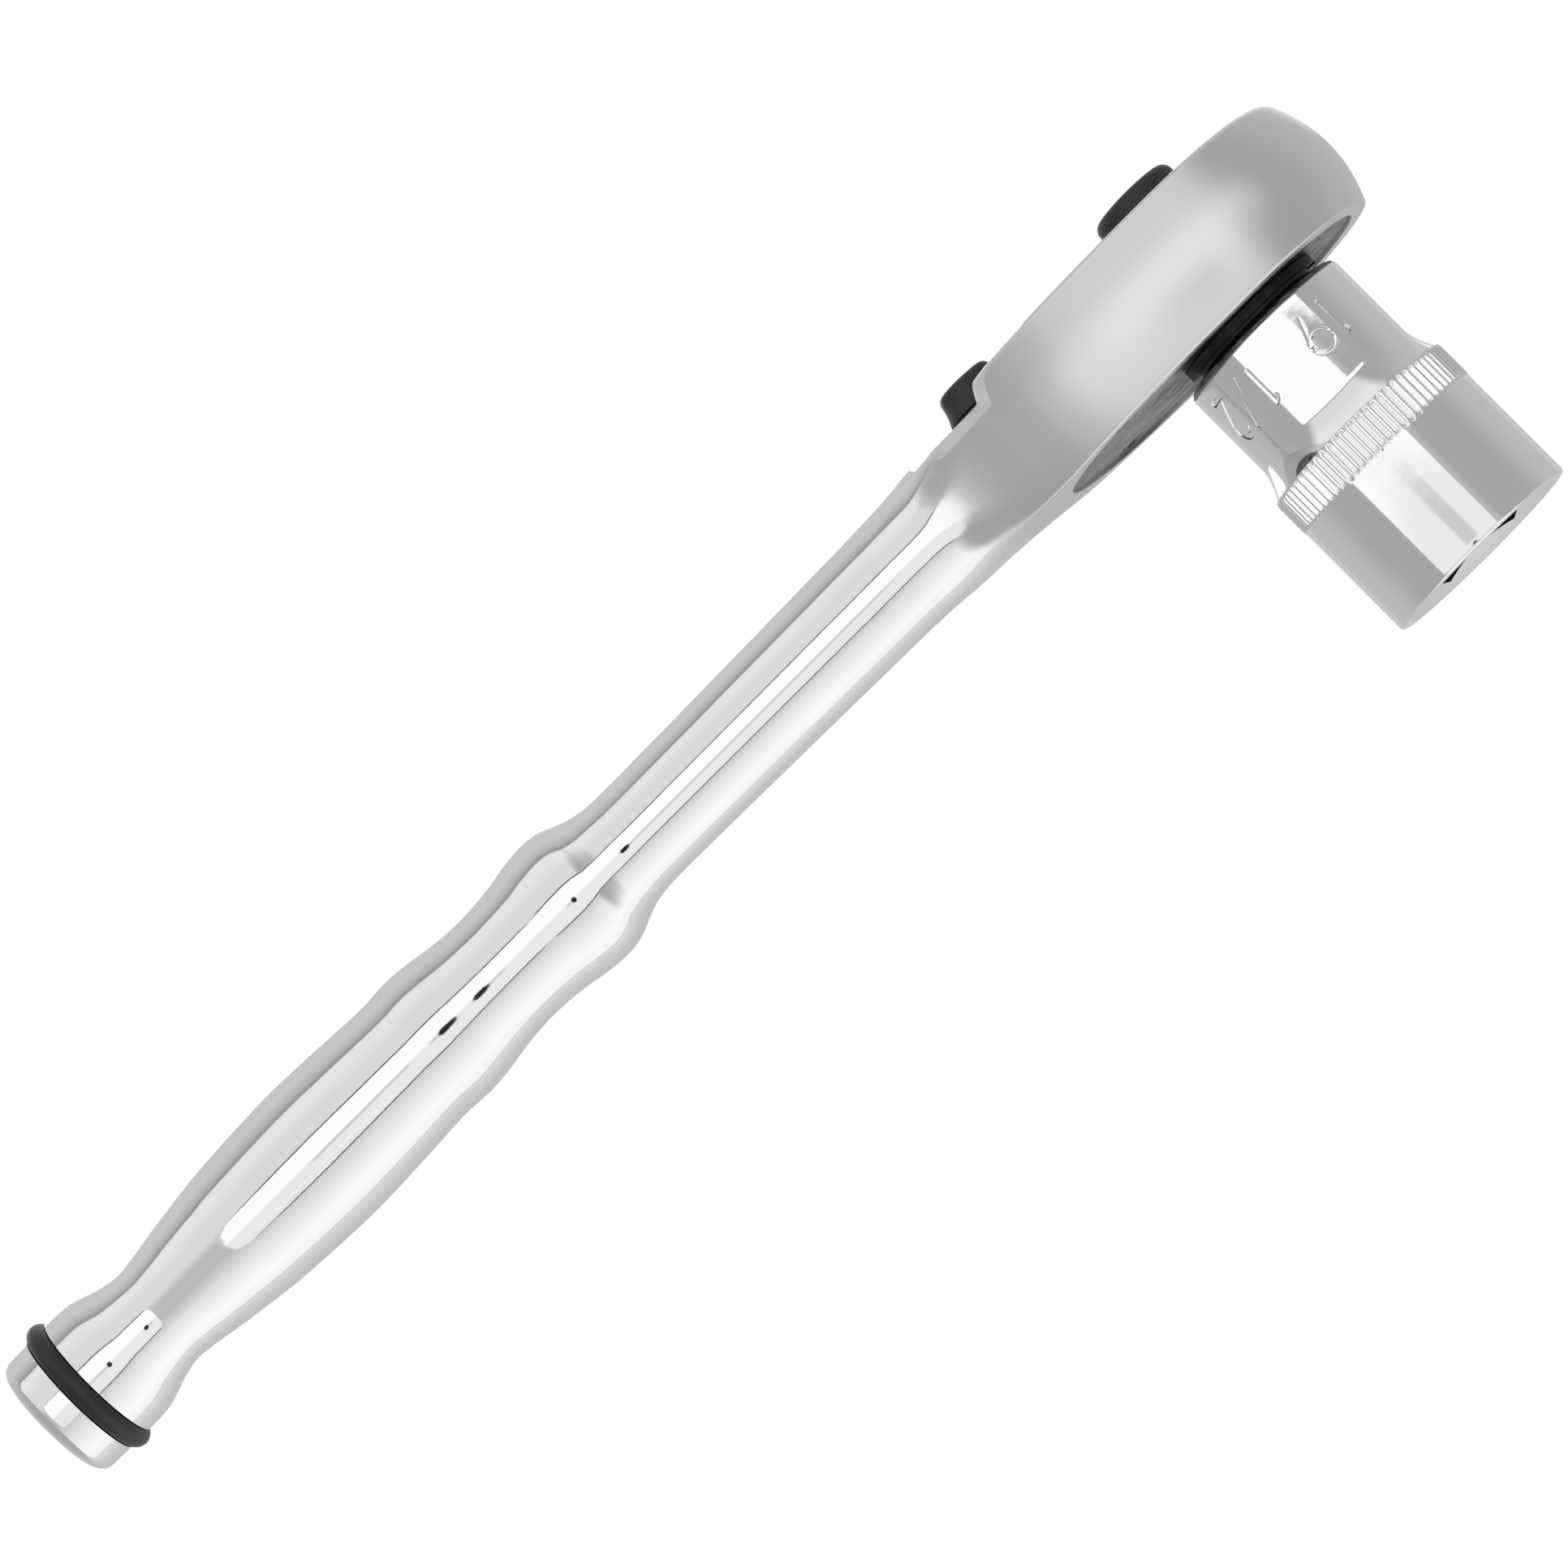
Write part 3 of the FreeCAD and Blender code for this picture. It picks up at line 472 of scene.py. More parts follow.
def shares_along(reach, z):
    """Part of the curve's length that lies before each of its points."""
    along = np.concatenate([[0], np.cumsum(np.hypot(np.diff(reach), np.diff(z)))])
    return along / along[-1]


def neck_profile(half_width, bottom, top, squareness, shares):
    """Half section that is round in the handle and squarer towards the head."""
    angle = -math.pi / 2 + math.pi * COARSE
    rise = np.sign(angle) * np.abs(np.sin(angle)) ** (2 / squareness)
    reach = half_width * np.abs(np.cos(angle)) ** (2 / squareness)
    reach[0] = reach[-1] = 0.0
    z = (bottom + top) / 2 + (top - bottom) / 2 * rise
    along = shares_along(reach, z)
    return np.interp(shares, along, reach), np.interp(shares, along, z)


def head_profile(half_width, bottom, top, nose=0.0, softness=0.0):
    """Half section of the head: barrel side, crisp lower edge and rounder upper edge."""
    barrel, top_edge = (cheek + (tip - cheek) * nose for cheek, tip in (BARREL, TOP_EDGE))

    def edge(z_end, radius, side):
        """Arc that runs from the barrel side to the flat at z_end."""
        slope = 2 * barrel * abs(z_end - HANDLE_Z)
        lean = math.atan(slope)
        z_start = z_end - side * radius * (1 - math.sin(lean))
        inset = barrel * (z_start - HANDLE_Z) ** 2 + radius * math.cos(lean)
        centre = (half_width - inset, z_end - side * radius)
        return z_start, arc(centre, radius, side * 90, side * math.degrees(lean), EDGE_STEPS)

    z_low, low = edge(bottom, BOTTOM_EDGE + softness, -1)
    z_high, high = edge(top, top_edge + softness, 1)
    heights = np.linspace(z_low, z_high, SIDE_STEPS + 2)[1:-1]
    side = [(half_width - barrel * (z - HANDLE_Z) ** 2, z) for z in heights]
    across = np.linspace(0, 1, FLAT_STEPS, endpoint=False)
    below = [(low[0][0] * u, bottom) for u in across]
    above = [(high[0][0] * u, top) for u in across[::-1]]
    return np.array(below + low + side + high[::-1] + above).T


def body_section(x):
    """Half section of the body at x, as the reach and the z of its points."""
    radius = handle_radius(min(x, HANDLE[-1, 0]))
    to_head = ease(x, -48.0, -28.0)
    half_width = radius if x < CHEEKS[1, 0] else smooth_curve(CHEEKS, x)
    bottom = HEAD_BOTTOM + (HANDLE_Z - radius - HEAD_BOTTOM) * (1 - ease(x, -52.0, -42.0))
    top = HEAD_TOP + (HANDLE_Z + radius - HEAD_TOP) * (1 - ease(x, -47.0, -27.0))
    if x < -60:
        return neck_profile(half_width, bottom, top, 2, EVEN)
    head = head_profile(half_width, bottom, top, softness=4.0 * (1 - ease(x, -44.0, -34.0)))
    shares = EVEN + ease(x, -60.0, -48.0) * (shares_along(*head) - EVEN)
    neck = neck_profile(half_width, bottom, top, 2 + 3 * to_head, shares)
    blend = ease(x, -46.0, -27.0)
    return tuple((1 - blend) * a + blend * b for a, b in zip(neck, head))


def smooth_min(a, b, width):
    """Smaller of two heights, with the edge between them rounded."""
    h = np.maximum(width - np.abs(a - b), 0) / width
    return np.minimum(a, b) - h * h * width / 4


def land_height(x, reach):
    """Height that the lever's land limits the body to: a flat with sloping edges and a curved front."""
    rear = ease(-x, 42.1, 43.2)
    width = LAND_CHAMFER_WIDTH * (1 - 0.6 * ease(-x, 33.0, 42.0))
    outer = np.clip((reach - max(reach)) / width + 1, 0, 1)
    fall = LAND_CHAMFER_DROP * outer * (1 - ease(-x, 38.0, 42.0))
    front = np.clip((x + 30.9 - 1.7 * outer) / 4.4, 0, 1)
    return LEVER_FLOOR - fall + 3.2 * (1 - (1 - front) ** 3) + 2.2 * rear


def body_stations():
    """x of every column, closer together where the shape changes quickly."""
    groove = (RING_LOW.x - GROOVE_GAP, RING_HIGH.x + GROOVE_GAP)
    stations = [BUTT_X + BUTT_ROUND * (1 - math.cos(math.radians(a))) for a in range(0, 91, 9)]
    x = BUTT_X + BUTT_ROUND + 0.4
    while x < -0.3:
        stations.append(x)
        x += 0.22 if LAND_X[0] < x < -25 else 0.5
    stations = [s for s in stations if not groove[0] - 0.1 < s < groove[1] + 0.1]
    stations += [groove[0] - 0.002, groove[0], groove[1], groove[1] + 0.002, 0.0]
    return sorted(stations), groove


def make_body():
    """Handle and head as one skin round the half sections, with the pockets and bores cut out."""
    stations, groove = body_stations()
    groove_radius = (RING_HIGH.z - RING_LOW.z) / 2 - (RING_HIGH.x - RING_LOW.x) - 0.1
    sides = []
    for share in (0.0, 0.12, 0.25, 0.4, 0.55, 0.7, 0.85, 0.95):
        radius = max(handle_radius(BUTT_X) * share, 1e-6)
        x = BUTT_X - BUTT_DOME * (1 - share ** 2)
        sides.append((x, *neck_profile(radius, HANDLE_Z - radius, HANDLE_Z + radius, 2, EVEN)))
    for x in stations:
        reach, z = body_section(x)
        if groove[0] <= x <= groove[1]:
            bottom, top = HANDLE_Z - groove_radius, HANDLE_Z + groove_radius
            reach, z = neck_profile(groove_radius, bottom, top, 2, EVEN)
        if LAND_X[0] < x < LAND_X[1]:
            z = smooth_min(z, land_height(x, reach), LAND_EDGE)
        sides.append((x, reach, z))
    points = []
    for x, reach, z in sides:
        points += [(x, r, h) for r, h in zip(reach, z)]
    for i in range(1, NOSE_STEPS):
        angle = math.pi / 2 - math.pi * i / NOSE_STEPS
        reach, z = head_profile(HEAD_RADIUS, HEAD_BOTTOM, HEAD_TOP, math.cos(angle) ** 2)
        forward, outward = math.cos(angle), math.sin(angle)
        full = (forward ** NOSE_SQUARENESS + abs(outward) ** NOSE_SQUARENESS) ** (-1 / NOSE_SQUARENESS)
        points += [(r * full * forward, r * full * outward, h) for r, h in zip(reach, z)]
    for x, reach, z in reversed(sides):
        points += [(x, -r, h) for r, h in zip(reach, z)]
    rows = len(EVEN)
    body = add_mesh("ratchet_body_chrome", points, grid_faces(len(points) // rows, rows, False))
    above_head = HEAD_TOP + 4
    pocket_floor = PLATE_HIGH.z - 1
    cut(body, [
        prism("recess", obround(RECESS_RADIUS, REAR_CENTRE_X), HEAD_BOTTOM - 2, PLATE_HIGH.z),
        prism("gear_pocket", circle(GEAR_POCKET_RADIUS), pocket_floor, CAVITY_TOP),
        prism("pawl_pocket", circle(PAWL_POCKET_RADIUS, x=REAR_CENTRE_X), pocket_floor, CAVITY_TOP),
        prism("stem_pocket", circle(STEM_POCKET_RADIUS, 96, LEVER_X), pocket_floor, CAVITY_TOP),
        prism("hub_pocket", circle(HUB_POCKET_RADIUS, 160, LEVER_X), LEVER_FLOOR, above_head),
        prism("journal_bore", circle(JOURNAL_BORE_RADIUS, 160), CAVITY_TOP - 1, above_head),
        prism("stem_bore", circle(STEM_BORE_RADIUS, 64, LEVER_X), CAVITY_TOP - 1, LEVER_FLOOR + 1),
    ])
    shade(body, 32)
    finish_piece(body, "body", MATERIALS["chrome_body"], "chrome_body", "ratchet_body")


# ---- grip ring ----
def make_grip_ring():
    """Rubber ring with a fine mould line around its outside."""
    cord = (RING_HIGH.x - RING_LOW.x) / 2
    mean = (RING_HIGH.z - RING_LOW.z) / 2 - cord
    centre_x = (RING_LOW.x + RING_HIGH.x) / 2
    points = []
    around, cross = 256, 48
    for i in range(around):
        angle = 2 * math.pi * i / around
        for j in range(cross):
            turn = 2 * math.pi * j / cross
            line = 0.03 * math.exp(-(math.sin(turn / 2) / 0.05) ** 2)
            radius = mean + (cord + line) * math.cos(turn)
            x = centre_x + cord * math.sin(turn)
            points.append((x, radius * math.cos(angle), HANDLE_Z + radius * math.sin(angle)))
    faces = []
    for i in range(around):
        for j in range(cross):
            ni, nj = (i + 1) % around, (j + 1) % cross
            faces.append((i * cross + j, ni * cross + j, ni * cross + nj, i * cross + nj))
    ring = add_mesh("grip_ring_rubber", points, faces)
    shade(ring, 60)
    finish_piece(ring, "body", MATERIALS["black_rubber"], "black_rubber", "grip_ring")


# ---- release button ----
def make_button():
    """Domed push button with a rounded edge."""
    radius = (BUTTON_HIGH.x - BUTTON_LOW.x) / 2
    edge, dome = 1.3, 0.35
    top = BUTTON_HIGH.z
    profile = [(0.0, BUTTON_LOW.z), (radius - 0.3, BUTTON_LOW.z), (radius, BUTTON_LOW.z + 0.3)]
    profile += arc((radius - edge, top - dome - edge), edge, 0, 84, 14)
    start = profile[-1]
    for i in range(1, 13):
        share = 1 - i / 12
        profile.append((start[0] * share, top - (top - start[1]) * share ** 2))
    button = lathe("release_button_cap", profile, 160)
    shade(button, 40)
    finish_piece(button, "release", MATERIALS["black_plastic"], "black_plastic", "release_button")


# ---- reversing lever ----
LEVER_REST = math.radians(28)
HUB_RADIUS = 8.1
HUB_TOP = 19.2
HUB_EDGE = 0.5
# Thumb tab: its half width, and how far behind the lever's axis its two half circles have their centres.
TAB_RADIUS = 3.75
TAB_NEAR = 5.5
TAB_FAR = 7.55
TAB_EDGE = 1.0
SPIGOT_HOLE_RADIUS = 3.0
SPIGOT_HOLE_TOP = 18.4


def tab_outline(inset, toe, steps=24):
    """Obround thumb tab seen from above, its handle end drawn out into a toe."""
    radius = TAB_RADIUS - inset
    near, far = LEVER_X - TAB_NEAR, LEVER_X - TAB_FAR - toe
    front = arc((near, 0), radius, -90, 90, steps)
    rear = arc((far, 0), radius, 90, 270, steps)
    return front + rear


def make_lever():
    """Hub disc and thumb tab, turned to the rest end of the throw."""
    profile = [(0.0, LEVER_LOW.z), (HUB_RADIUS - 0.2, LEVER_LOW.z), (HUB_RADIUS, LEVER_LOW.z + 0.2)]
    profile += arc((HUB_RADIUS - HUB_EDGE, HUB_TOP - HUB_EDGE), HUB_EDGE, 0, 90, 8)
    profile += [(HUB_RADIUS * 0.6, HUB_TOP), (0.0, HUB_TOP)]
    hub = lathe("reversing_lever_hub", profile, 192, (LEVER_X, 0))
    top = LEVER_HIGH.z
    # Each level is its height, how far its outline is set in, and how far its toe is drawn out.
    levels = [(17.3, 0.3, 0.0), (17.45, 0.0, 0.0), (17.9, 0.05, -0.15), (18.6, 0.12, -0.45)]
    levels += [(19.3, 0.2, -0.6), (19.9, 0.3, -0.62)]
    for a in (math.radians(d) for d in range(10, 91, 10)):
        levels.append((top - TAB_EDGE * (1 - math.sin(a)), 0.38 + TAB_EDGE * (1 - math.cos(a)), -0.62))
    levels += [(top + 0.03, 2.4, -0.6), (top + 0.04, 3.3, -0.6)]
    points = []
    outlines = [[(x, y, z) for x, y in tab_outline(inset, toe)] for z, inset, toe in levels]
    count = len(outlines[0])
    for outline in outlines:
        points += outline
    faces = [tuple(range(count))[::-1], tuple(range((len(levels) - 1) * count, len(levels) * count))]
    for k in range(len(levels) - 1):
        for i in range(count):
            nxt = (i + 1) % count
            faces.append((k * count + i, k * count + nxt, (k + 1) * count + nxt, (k + 1) * count + i))
    tab = add_mesh("lever_tab", points, faces)
    join = hub.modifiers.new("join", "BOOLEAN")
    join.operation = "UNION"
    join.solver = "MANIFOLD"
    join.object = tab
    bpy.context.view_layer.update()
    apply_modifiers(hub)
    bpy.data.objects.remove(tab)
    spigot = circle(SPIGOT_HOLE_RADIUS, 64, LEVER_X)
    cut(hub, [prism("spigot_hole", spigot, LEVER_LOW.z - 1, SPIGOT_HOLE_TOP)])
    turn = Matrix.Translation(Vector((LEVER_X, 0, 0)) * MM)
    turn = turn @ Matrix.Rotation(LEVER_REST, 4, "Z") @ turn.inverted()
    hub.data.transform(turn)
    shade(hub, 40)
    finish_piece(hub, "lever", MATERIALS["black_plastic"], "black_plastic", "reversing_lever")


# ---- socket ----
KNURL_COUNT = 72
KNURL_TOP = -17.0
KNURL_BOTTOM = -22.3
KNURL_STEP = 0.3
FLARE_TOP = -13.0
FLARE_BOTTOM = -16.95
SMALL_RADIUS = 12.15
LARGE_RADIUS = 13.85
MARK_HEIGHT = 6.0
MARK_TOP = -3.4
STROKE_WIDTH = 0.85
STROKE_DEPTH = 0.32
MOUTH_EDGE = 0.5
MOUTH_CONE_RADIUS = 12.4
MOUTH_CONE_END_RADIUS = 9.4
MOUTH_CONE_DEPTH = 1.6
SQUARE_SIDE = 12.9
SQUARE_END = -17.2
RELIEF_RADIUS = 8.4
HEXAGON_FLATS = 19.1
HEXAGON_END = -23.5
BALL_GROOVE_RADIUS = 7.35
BALL_GROOVE_Z = -7.5
BALL_GROOVE_HALF = 2.2
BALL_FLUTE_REACH = 7.0
BALL_FLUTE_HALF = 1.8


def socket_profile():
    """Outside of the socket from the middle of its drive end to the middle of its mouth."""
    top, mouth = SOCKET_HIGH.z, SOCKET_LOW.z
    profile = [(0.0, top), (SMALL_RADIUS - 1.6, top)]
    profile += arc((SMALL_RADIUS - 1.1, top - 1.1), 1.1, 90, 0, 12)
    profile += [(SMALL_RADIUS, z) for z in np.arange(top - 1.8, -12.9, -0.6)]
    flare_end = LARGE_RADIUS - KNURL_STEP
    for i in range(19):
        u = i / 18
        z = FLARE_TOP + (FLARE_BOTTOM - FLARE_TOP) * u
        profile.append((SMALL_RADIUS + (flare_end - SMALL_RADIUS) * u ** 1.6, z))
    profile += [(LARGE_RADIUS, z) for z in np.linspace(KNURL_TOP - 0.02, KNURL_BOTTOM, 26)]
    profile += [(LARGE_RADIUS, z) for z in np.arange(KNURL_BOTTOM - 0.3, mouth + 1.0, -0.6)]
    profile += arc((LARGE_RADIUS - MOUTH_EDGE, mouth + MOUTH_EDGE), MOUTH_EDGE, 0, -90, 10)
    profile += [(MOUTH_CONE_RADIUS + 0.15, mouth), (MOUTH_CONE_RADIUS, mouth + 0.06)]
    cone_end = mouth + MOUTH_CONE_DEPTH
    return profile + [(MOUTH_CONE_END_RADIUS, cone_end), (0.0, cone_end)]


def figure_strokes(figure):
    """Strokes of a figure, as (across, up) in parts of the figure height."""
    if figure == "1":
        return [[(0.16, 0.78), (0.3, 0.96)], [(0.3, 1.0), (0.3, 0.0)]]
    if figure == "/":
        return [[(0.52, 1.04), (0.08, -0.04)]]
    if figure == "2":
        hook = arc((0.3, 0.73), 0.25, 165, -40, 22)
        return [hook + [(0.06, 0.0)], [(0.06, 0.0), (0.56, 0.0)]]
    loop = arc((0.3, 0.7), 0.27, 0, 360, 40)
    tail = [(0.57, 0.7), (0.3, 0.0)]
    return [loop[:21], loop[20:], tail]


def stroke_cutter(path, angle):
    """Rounded groove along a path, wrapped round the socket's drive end, upside down."""
    path = np.array(path) * MARK_HEIGHT
    along = np.concatenate([[0], np.cumsum(np.hypot(*np.diff(path, axis=0).T))])
    count = max(int(along[-1] / 0.22), 10)
    even = np.linspace(0, along[-1], count + 1)
    across = np.interp(even, along, path[:, 0])
    up = np.interp(even, along, path[:, 1])
    heading = np.arctan2(np.gradient(up), np.gradient(across))
    section = [(-0.5, 0.5), (-0.5, 0.0), (-0.36, -0.7), (0.0, -1.0), (0.36, -0.7), (0.5, 0.0), (0.5, 0.5)]
    points = []
    for k in range(count + 1):
        end = min(even[k], even[-1] - even[k]) / (STROKE_WIDTH / 2)
        full = math.sqrt(1 - (1 - min(end, 1.0)) ** 2) * 0.9 + 0.1
        for offset, lift in section:
            side = offset * STROKE_WIDTH * full
            a = across[k] - side * math.sin(heading[k])
            h = up[k] + side * math.cos(heading[k])
            radius = SMALL_RADIUS + lift * (STROKE_DEPTH * full if lift < 0 else 1.0)
            turn = angle - a / SMALL_RADIUS
            points.append((radius * math.cos(turn), radius * math.sin(turn), MARK_TOP - h))
    size = len(section)
    faces = [tuple(range(size)), tuple(range(count * size, (count + 1) * size))[::-1]]
    for k in range(count):
        for j in range(size):
            nxt = (j + 1) % size
            faces.append((k * size + j, k * size + nxt, (k + 1) * size + nxt, (k + 1) * size + j))
    return add_mesh("stroke", points, faces, weld=False)


def mark_cutters(text, centre_angle):
    """Cutters for a row of figures centred on an angle about the drive axis."""
    pitch = {"1": 0.52, "/": 0.62, "2": 0.66, "9": 0.66}
    total = sum(pitch[figure] for figure in text)
    start = centre_angle + total * MARK_HEIGHT / SMALL_RADIUS / 2
    cutters = []
    for figure in text:
        cutters += [stroke_cutter(path, start) for path in figure_strokes(figure)]
        start -= pitch[figure] * MARK_HEIGHT / SMALL_RADIUS
    return cutters


def hexagon(flats):
    """Outline of a hexagon from its width across flats."""
    corner = flats / math.sqrt(3)
    angles = [math.radians(60 * i) for i in range(6)]
    return [(corner * math.cos(a), corner * math.sin(a)) for a in angles]


def square(side):
    """Outline of a square about the origin."""
    half = side / 2
    return [(half, half), (-half, half), (-half, -half), (half, -half)]


def make_socket():
    """Turned and knurled socket with its square, hexagon, ball groove and marks cut in."""
    profile = socket_profile()
    segments = KNURL_COUNT * 10
    points = []
    for i in range(segments):
        angle = 2 * math.pi * i / segments
        wave = 0.5 + 0.5 * math.cos(KNURL_COUNT * angle)
        ridge = 0.12 - 0.5 * (1 - wave) ** 1.6
        for radius, z in profile:
            fade_in = ease(z, KNURL_BOTTOM, KNURL_BOTTOM + 0.5)
            fade_out = 1 - ease(z, KNURL_TOP - 0.45, KNURL_TOP - 0.05)
            fade = min(fade_in, fade_out)
            r = radius + ridge * fade
            points.append((r * math.cos(angle), r * math.sin(angle), z))
    socket = add_mesh("socket_chrome", points, grid_faces(segments, len(profile), True))
    top, mouth = SOCKET_HIGH.z, SOCKET_LOW.z
    groove_low, groove_high = BALL_GROOVE_Z - BALL_GROOVE_HALF, BALL_GROOVE_Z + BALL_GROOVE_HALF
    reach, half = BALL_FLUTE_REACH, BALL_FLUTE_HALF
    flute = [(0.0, -half), (reach, -half), (reach, half), (0.0, half)]
    front = -math.pi / 2
    cut(socket, [
        prism("square_hole", square(SQUARE_SIDE), SQUARE_END, top + 1),
        prism("relief", circle(RELIEF_RADIUS, 96), HEXAGON_END - 0.1, SQUARE_END + 0.3),
        prism("hex_hole", hexagon(HEXAGON_FLATS), mouth - 1, HEXAGON_END),
        prism("ball_groove", circle(BALL_GROOVE_RADIUS, 96), groove_low, groove_high),
        prism("ball_flute", flute, BALL_GROOVE_Z, top + 1),
    ] + mark_cutters("1/2", front - math.radians(41)) + mark_cutters("19", front + math.radians(27)))
    shade(socket, 35)
    finish_piece(socket, "socket", MATERIALS["chrome_socket"], "chrome_socket", "socket")


make_body()
make_grip_ring()
make_button()
make_lever()
make_socket()


# ---- carried-over CAD nodes ----
NODE_SLOTS = {part["node"]: part["material_slot"] for part in frame["record"]["subparts"]}
for name, obj in frame["nodes"].items():
    obj.data.materials.clear()
    obj.data.materials.append(MATERIALS[NODE_SLOTS[name]])


# ---- camera ----
CAMERA_PITCH = math.radians(5.5)
CAMERA_DISTANCE = 1255.0
FRAME_WIDTH = 192.6
FRAME_CENTRE = Vector((-80.85, 0.0, 1.6))
FORWARD = Vector((0, math.cos(CAMERA_PITCH), math.sin(CAMERA_PITCH)))
LIFT = Vector((0, -math.sin(CAMERA_PITCH), math.cos(CAMERA_PITCH)))
RIGHT = Vector((1, 0, 0))
EYE = Vector((0.0, 0.0, FRAME_CENTRE.z)) - FORWARD * CAMERA_DISTANCE


def make_camera():
    """Long-lens camera in front of the head, a little below it, rolled so that the tool lies diagonally."""
    to_centre = FRAME_CENTRE - EYE
    data = bpy.data.cameras.new("camera")
    data.sensor_width = 36.0
    data.lens = data.sensor_width * to_centre.length / FRAME_WIDTH
    data.clip_end = 20.0
    forward = to_centre.normalized()
    along = (RIGHT - forward * RIGHT.dot(forward)).normalized()
    across = along.cross(forward)
    up = (along + across).normalized()
    side = (along - across).normalized()
    camera = bpy.data.objects.new("camera", data)
    rotation = Matrix((side, up, -forward)).transposed().to_4x4()
    camera.matrix_world = Matrix.Translation(EYE * MM) @ rotation
    bpy.context.scene.collection.objects.link(camera)
    bpy.context.scene.camera = camera


# ---- light tent ----
def at(degrees):
    """Place on the ramp that runs once round the tool's long axis."""
    return (degrees + 180) / 360


def make_world():
    """White light tent seen as bands round the tool's long axis, darker towards both sides."""
    world = bpy.data.worlds.new("tent")
    bpy.context.scene.world = world
    world.use_nodes = True
    n = Nodes(world.node_tree)
    ray = n.add("ShaderNodeTexCoord").outputs["Generated"]
    back = n.dot(ray, tuple(-FORWARD))
    lift = n.dot(ray, tuple(LIFT))
    side = n.dot(ray, tuple(RIGHT))
    turn = n.math("DEGREES", n.math("ARCTAN2", lift, back))
    share = n.math("MULTIPLY_ADD", turn, 1 / 360, 0.5)
    # 0 degrees is towards the camera, 90 is above the tool, -90 is below it and 180 is behind it.
    wall = n.ramp(share, [
        (at(-180), grey(0.60)), (at(-156), grey(0.55)), (at(-131), grey(0.61)), (at(-114), grey(0.71)),
        (at(-103), grey(0.80)), (at(-102), grey(0.50)), (at(-100.5), grey(1.00)), (at(-78), grey(1.08)),
        (at(-64), grey(1.02)), (at(-50), grey(0.93)), (at(-36), grey(0.83)), (at(-27), grey(0.72)),
        (at(-10), grey(0.55)), (at(15), grey(0.55)), (at(30), grey(0.78)), (at(52), grey(0.78)),
        (at(68), grey(0.87)), (at(83), grey(0.87)), (at(86), grey(0.30)), (at(96), grey(0.50)),
        (at(114), grey(0.63)), (at(180), grey(0.60)),
    ])
    sideways = n.math("ABSOLUTE", side)
    behind = n.between(back, -0.6, 0.3, 0.54, 0.42)
    gloom = n.add("ShaderNodeCombineColor", {0: behind, 1: behind, 2: behind}).outputs[0]
    tent = n.mix(n.between(sideways, 0.5, 0.66), wall, gloom)
    path = n.add("ShaderNodeLightPath").outputs["Is Camera Ray"]
    tent_light = n.add("ShaderNodeBackground", {"Color": tent, "Strength": 1.0}).outputs[0]
    backdrop = n.add("ShaderNodeBackground", {"Color": (1, 1, 1, 1), "Strength": 1.0}).outputs[0]
    mixed = n.add("ShaderNodeMixShader", {0: path, 1: tent_light, 2: backdrop}).outputs[0]
    n.add("ShaderNodeOutputWorld", {"Surface": mixed})


SOFTBOX_Y = -270.0
SOFTBOX_X = (-275.0, 420.0)
SOFTBOX_Z = (-137.0, 122.0)
SOFTBOX_CORNER = 60.0
# Above these heights the card's right side ends nearer, at this x.
SOFTBOX_STEP_X = 158.0
SOFTBOX_STEP_Z = (24.0, 40.0)
SOFTBOX_BORDER = 12.0
SOFTBOX_SEAM_Z = -18.0
# Distance from the middle of the camera's lens, in metres, over which its dark spot fades out.
LENS_SPOT = (0.075, 0.115)
BACK_SOFTBOX_Y = 270.0
BACK_SOFTBOX_X = (-300.0, 130.0)
BACK_SOFTBOX_Z = (52.0, 190.0)


def make_card(name, range_x, y, range_z, facing, material):
    """Flat upright card that only reflections and light can see; facing is the sign of its normal's y."""
    (left, right), (low, high) = range_x, range_z
    outline = [(left, y, low), (right, y, low), (right, y, high), (left, y, high)]
    card = add_mesh(name, outline, [(0, 1, 2, 3)])
    if card.data.polygons[0].normal.y * facing < 0:
        card.data.flip_normals()
    card.data.materials.append(material)
    card.visible_camera = False
    card.visible_shadow = False


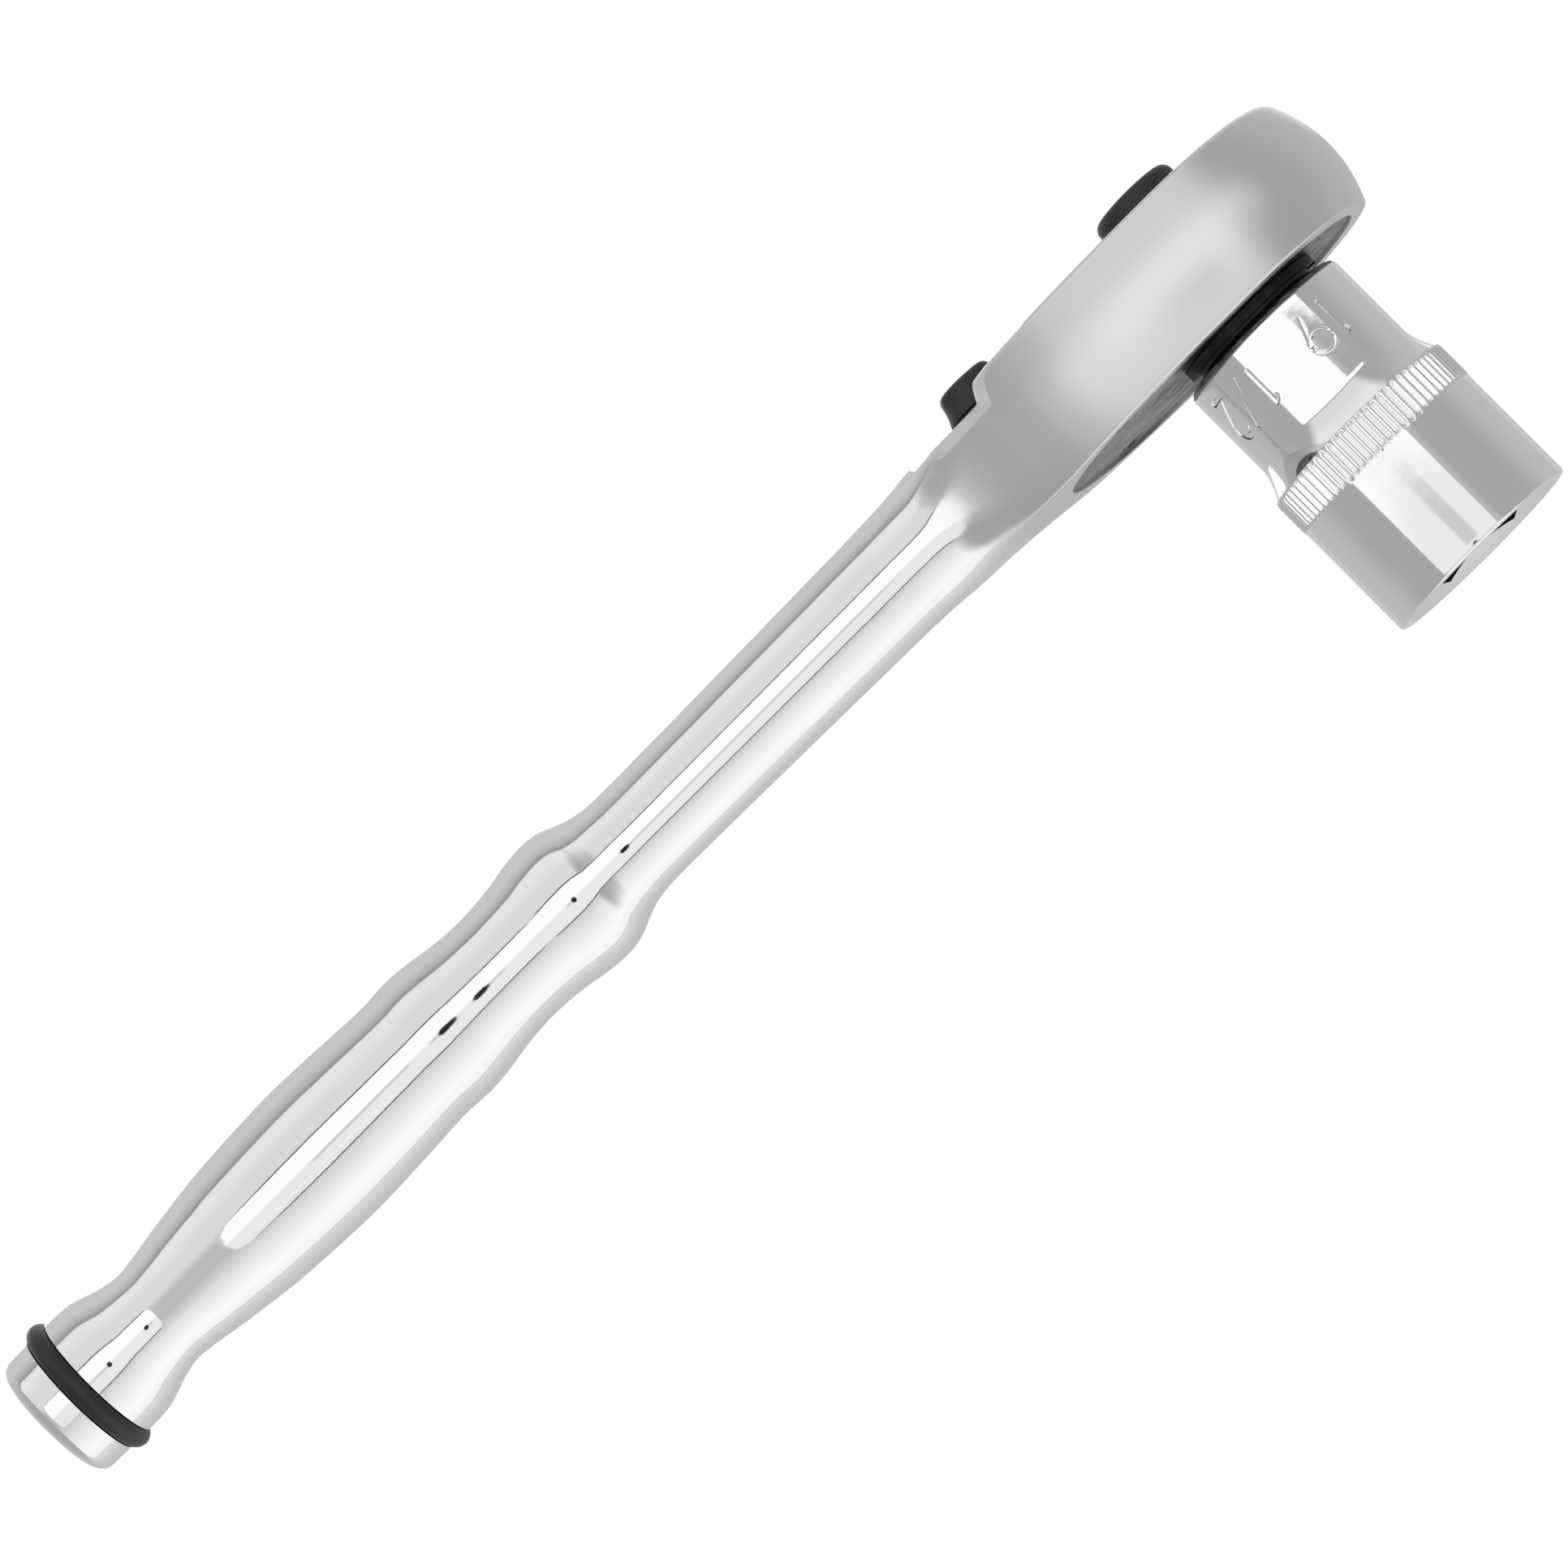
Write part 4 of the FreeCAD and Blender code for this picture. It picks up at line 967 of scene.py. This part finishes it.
def make_softbox():
    """Bright front panel with rounded corners, a dark frame, a faint seam and the lens's dark spot."""
    material, n = new_material("softbox")
    geometry = n.add("ShaderNodeNewGeometry")
    place = geometry.outputs["Position"]
    parts = n.add("ShaderNodeSeparateXYZ", {0: place})
    x = n.math("DIVIDE", parts.outputs[0], MM)
    z = n.math("DIVIDE", parts.outputs[2], MM)
    depth = n.math("SUBTRACT", SOFTBOX_CORNER, n.corner_distance(x, z, SOFTBOX_X, SOFTBOX_Z, SOFTBOX_CORNER))
    seam = n.math("ABSOLUTE", n.math("SUBTRACT", z, SOFTBOX_SEAM_Z))
    sideways = n.math("ABSOLUTE", n.dot(geometry.outputs["Incoming"], tuple(RIGHT)))
    dim = n.math("MULTIPLY", n.between(seam, 4.0, 14.0, 0.28, 0.0), n.between(sideways, 0.09, 0.18, 1.0, 0.0))
    right_side = n.between(z, *SOFTBOX_STEP_Z, SOFTBOX_STEP_X, SOFTBOX_X[1])
    depth = n.math("MINIMUM", depth, n.math("SUBTRACT", right_side, x))
    upper = n.between(z, -12.0, 0.0, 0.92, 1.1)
    from_edge = n.math("MINIMUM", n.math("SUBTRACT", z, SOFTBOX_Z[0]), n.math("SUBTRACT", SOFTBOX_Z[1], z))
    border = n.between(from_edge, SOFTBOX_BORDER, SOFTBOX_BORDER + 4, 0.16, 1.0)
    level = n.math("MULTIPLY", border, n.math("MULTIPLY", n.math("SUBTRACT", 1.0, dim), upper))
    level = n.math("MULTIPLY", level, n.between(n.miss(geometry, EYE * MM), *LENS_SPOT, 0.03, 1.0))
    glow = n.add("ShaderNodeEmission", {"Color": grey(1.0, COOL), "Strength": level}).outputs[0]
    clear = n.add("ShaderNodeBsdfTransparent").outputs[0]
    front = n.math("SUBTRACT", 1.0, geometry.outputs["Backfacing"])
    shown = n.math("MULTIPLY", n.between(depth, 0.0, 4.0), front)
    mixed = n.add("ShaderNodeMixShader", {0: shown, 1: clear, 2: glow}).outputs[0]
    n.add("ShaderNodeOutputMaterial", {"Surface": mixed})
    make_card("softbox", SOFTBOX_X, SOFTBOX_Y, SOFTBOX_Z, 1, material)


def make_back_softbox():
    """Plain bright panel behind and above the tool, which shapes the chrome seen from behind."""
    material, n = new_material("back_softbox")
    away = n.add("ShaderNodeNewGeometry").outputs["Backfacing"]
    glow = n.add("ShaderNodeEmission", {"Color": grey(1.0, COOL), "Strength": 1.1}).outputs[0]
    clear = n.add("ShaderNodeBsdfTransparent").outputs[0]
    mixed = n.add("ShaderNodeMixShader", {0: away, 1: glow, 2: clear}).outputs[0]
    n.add("ShaderNodeOutputMaterial", {"Surface": mixed})
    make_card("back_softbox", BACK_SOFTBOX_X, BACK_SOFTBOX_Y, BACK_SOFTBOX_Z, -1, material)


# ---- floor ----
FLOOR_SIZE = 6000.0
FLOOR_GAP = 0.3


def make_floor():
    """Pale floor under the socket's mouth, seen only from above."""
    material, n = new_material("floor")
    speckle = n.noise(40.0, 4.0)
    base = n.mix(speckle, grey(0.86), grey(0.9))
    lit = n.add("ShaderNodeBsdfDiffuse", {"Color": base}).outputs[0]
    glow = n.add("ShaderNodeEmission", {"Color": base, "Strength": 0.25}).outputs[0]
    diffuse = n.add("ShaderNodeAddShader", {0: lit, 1: glow}).outputs[0]
    clear = n.add("ShaderNodeBsdfTransparent").outputs[0]
    behind = n.add("ShaderNodeNewGeometry").outputs["Backfacing"]
    mixed = n.add("ShaderNodeMixShader", {0: behind, 1: diffuse, 2: clear}).outputs[0]
    n.add("ShaderNodeOutputMaterial", {"Surface": mixed})
    z = SOCKET_LOW.z - FLOOR_GAP
    outline = [(x, y, z) for x, y in square(FLOOR_SIZE)]
    floor = add_mesh("floor", outline, [(0, 1, 2, 3)])
    if floor.data.polygons[0].normal.z < 0:
        floor.data.flip_normals()
    floor.data.materials.append(material)
    floor.visible_glossy = False


make_camera()
make_world()
make_softbox()
make_back_softbox()
make_floor()
bpy.context.scene.view_settings.view_transform = "Standard"
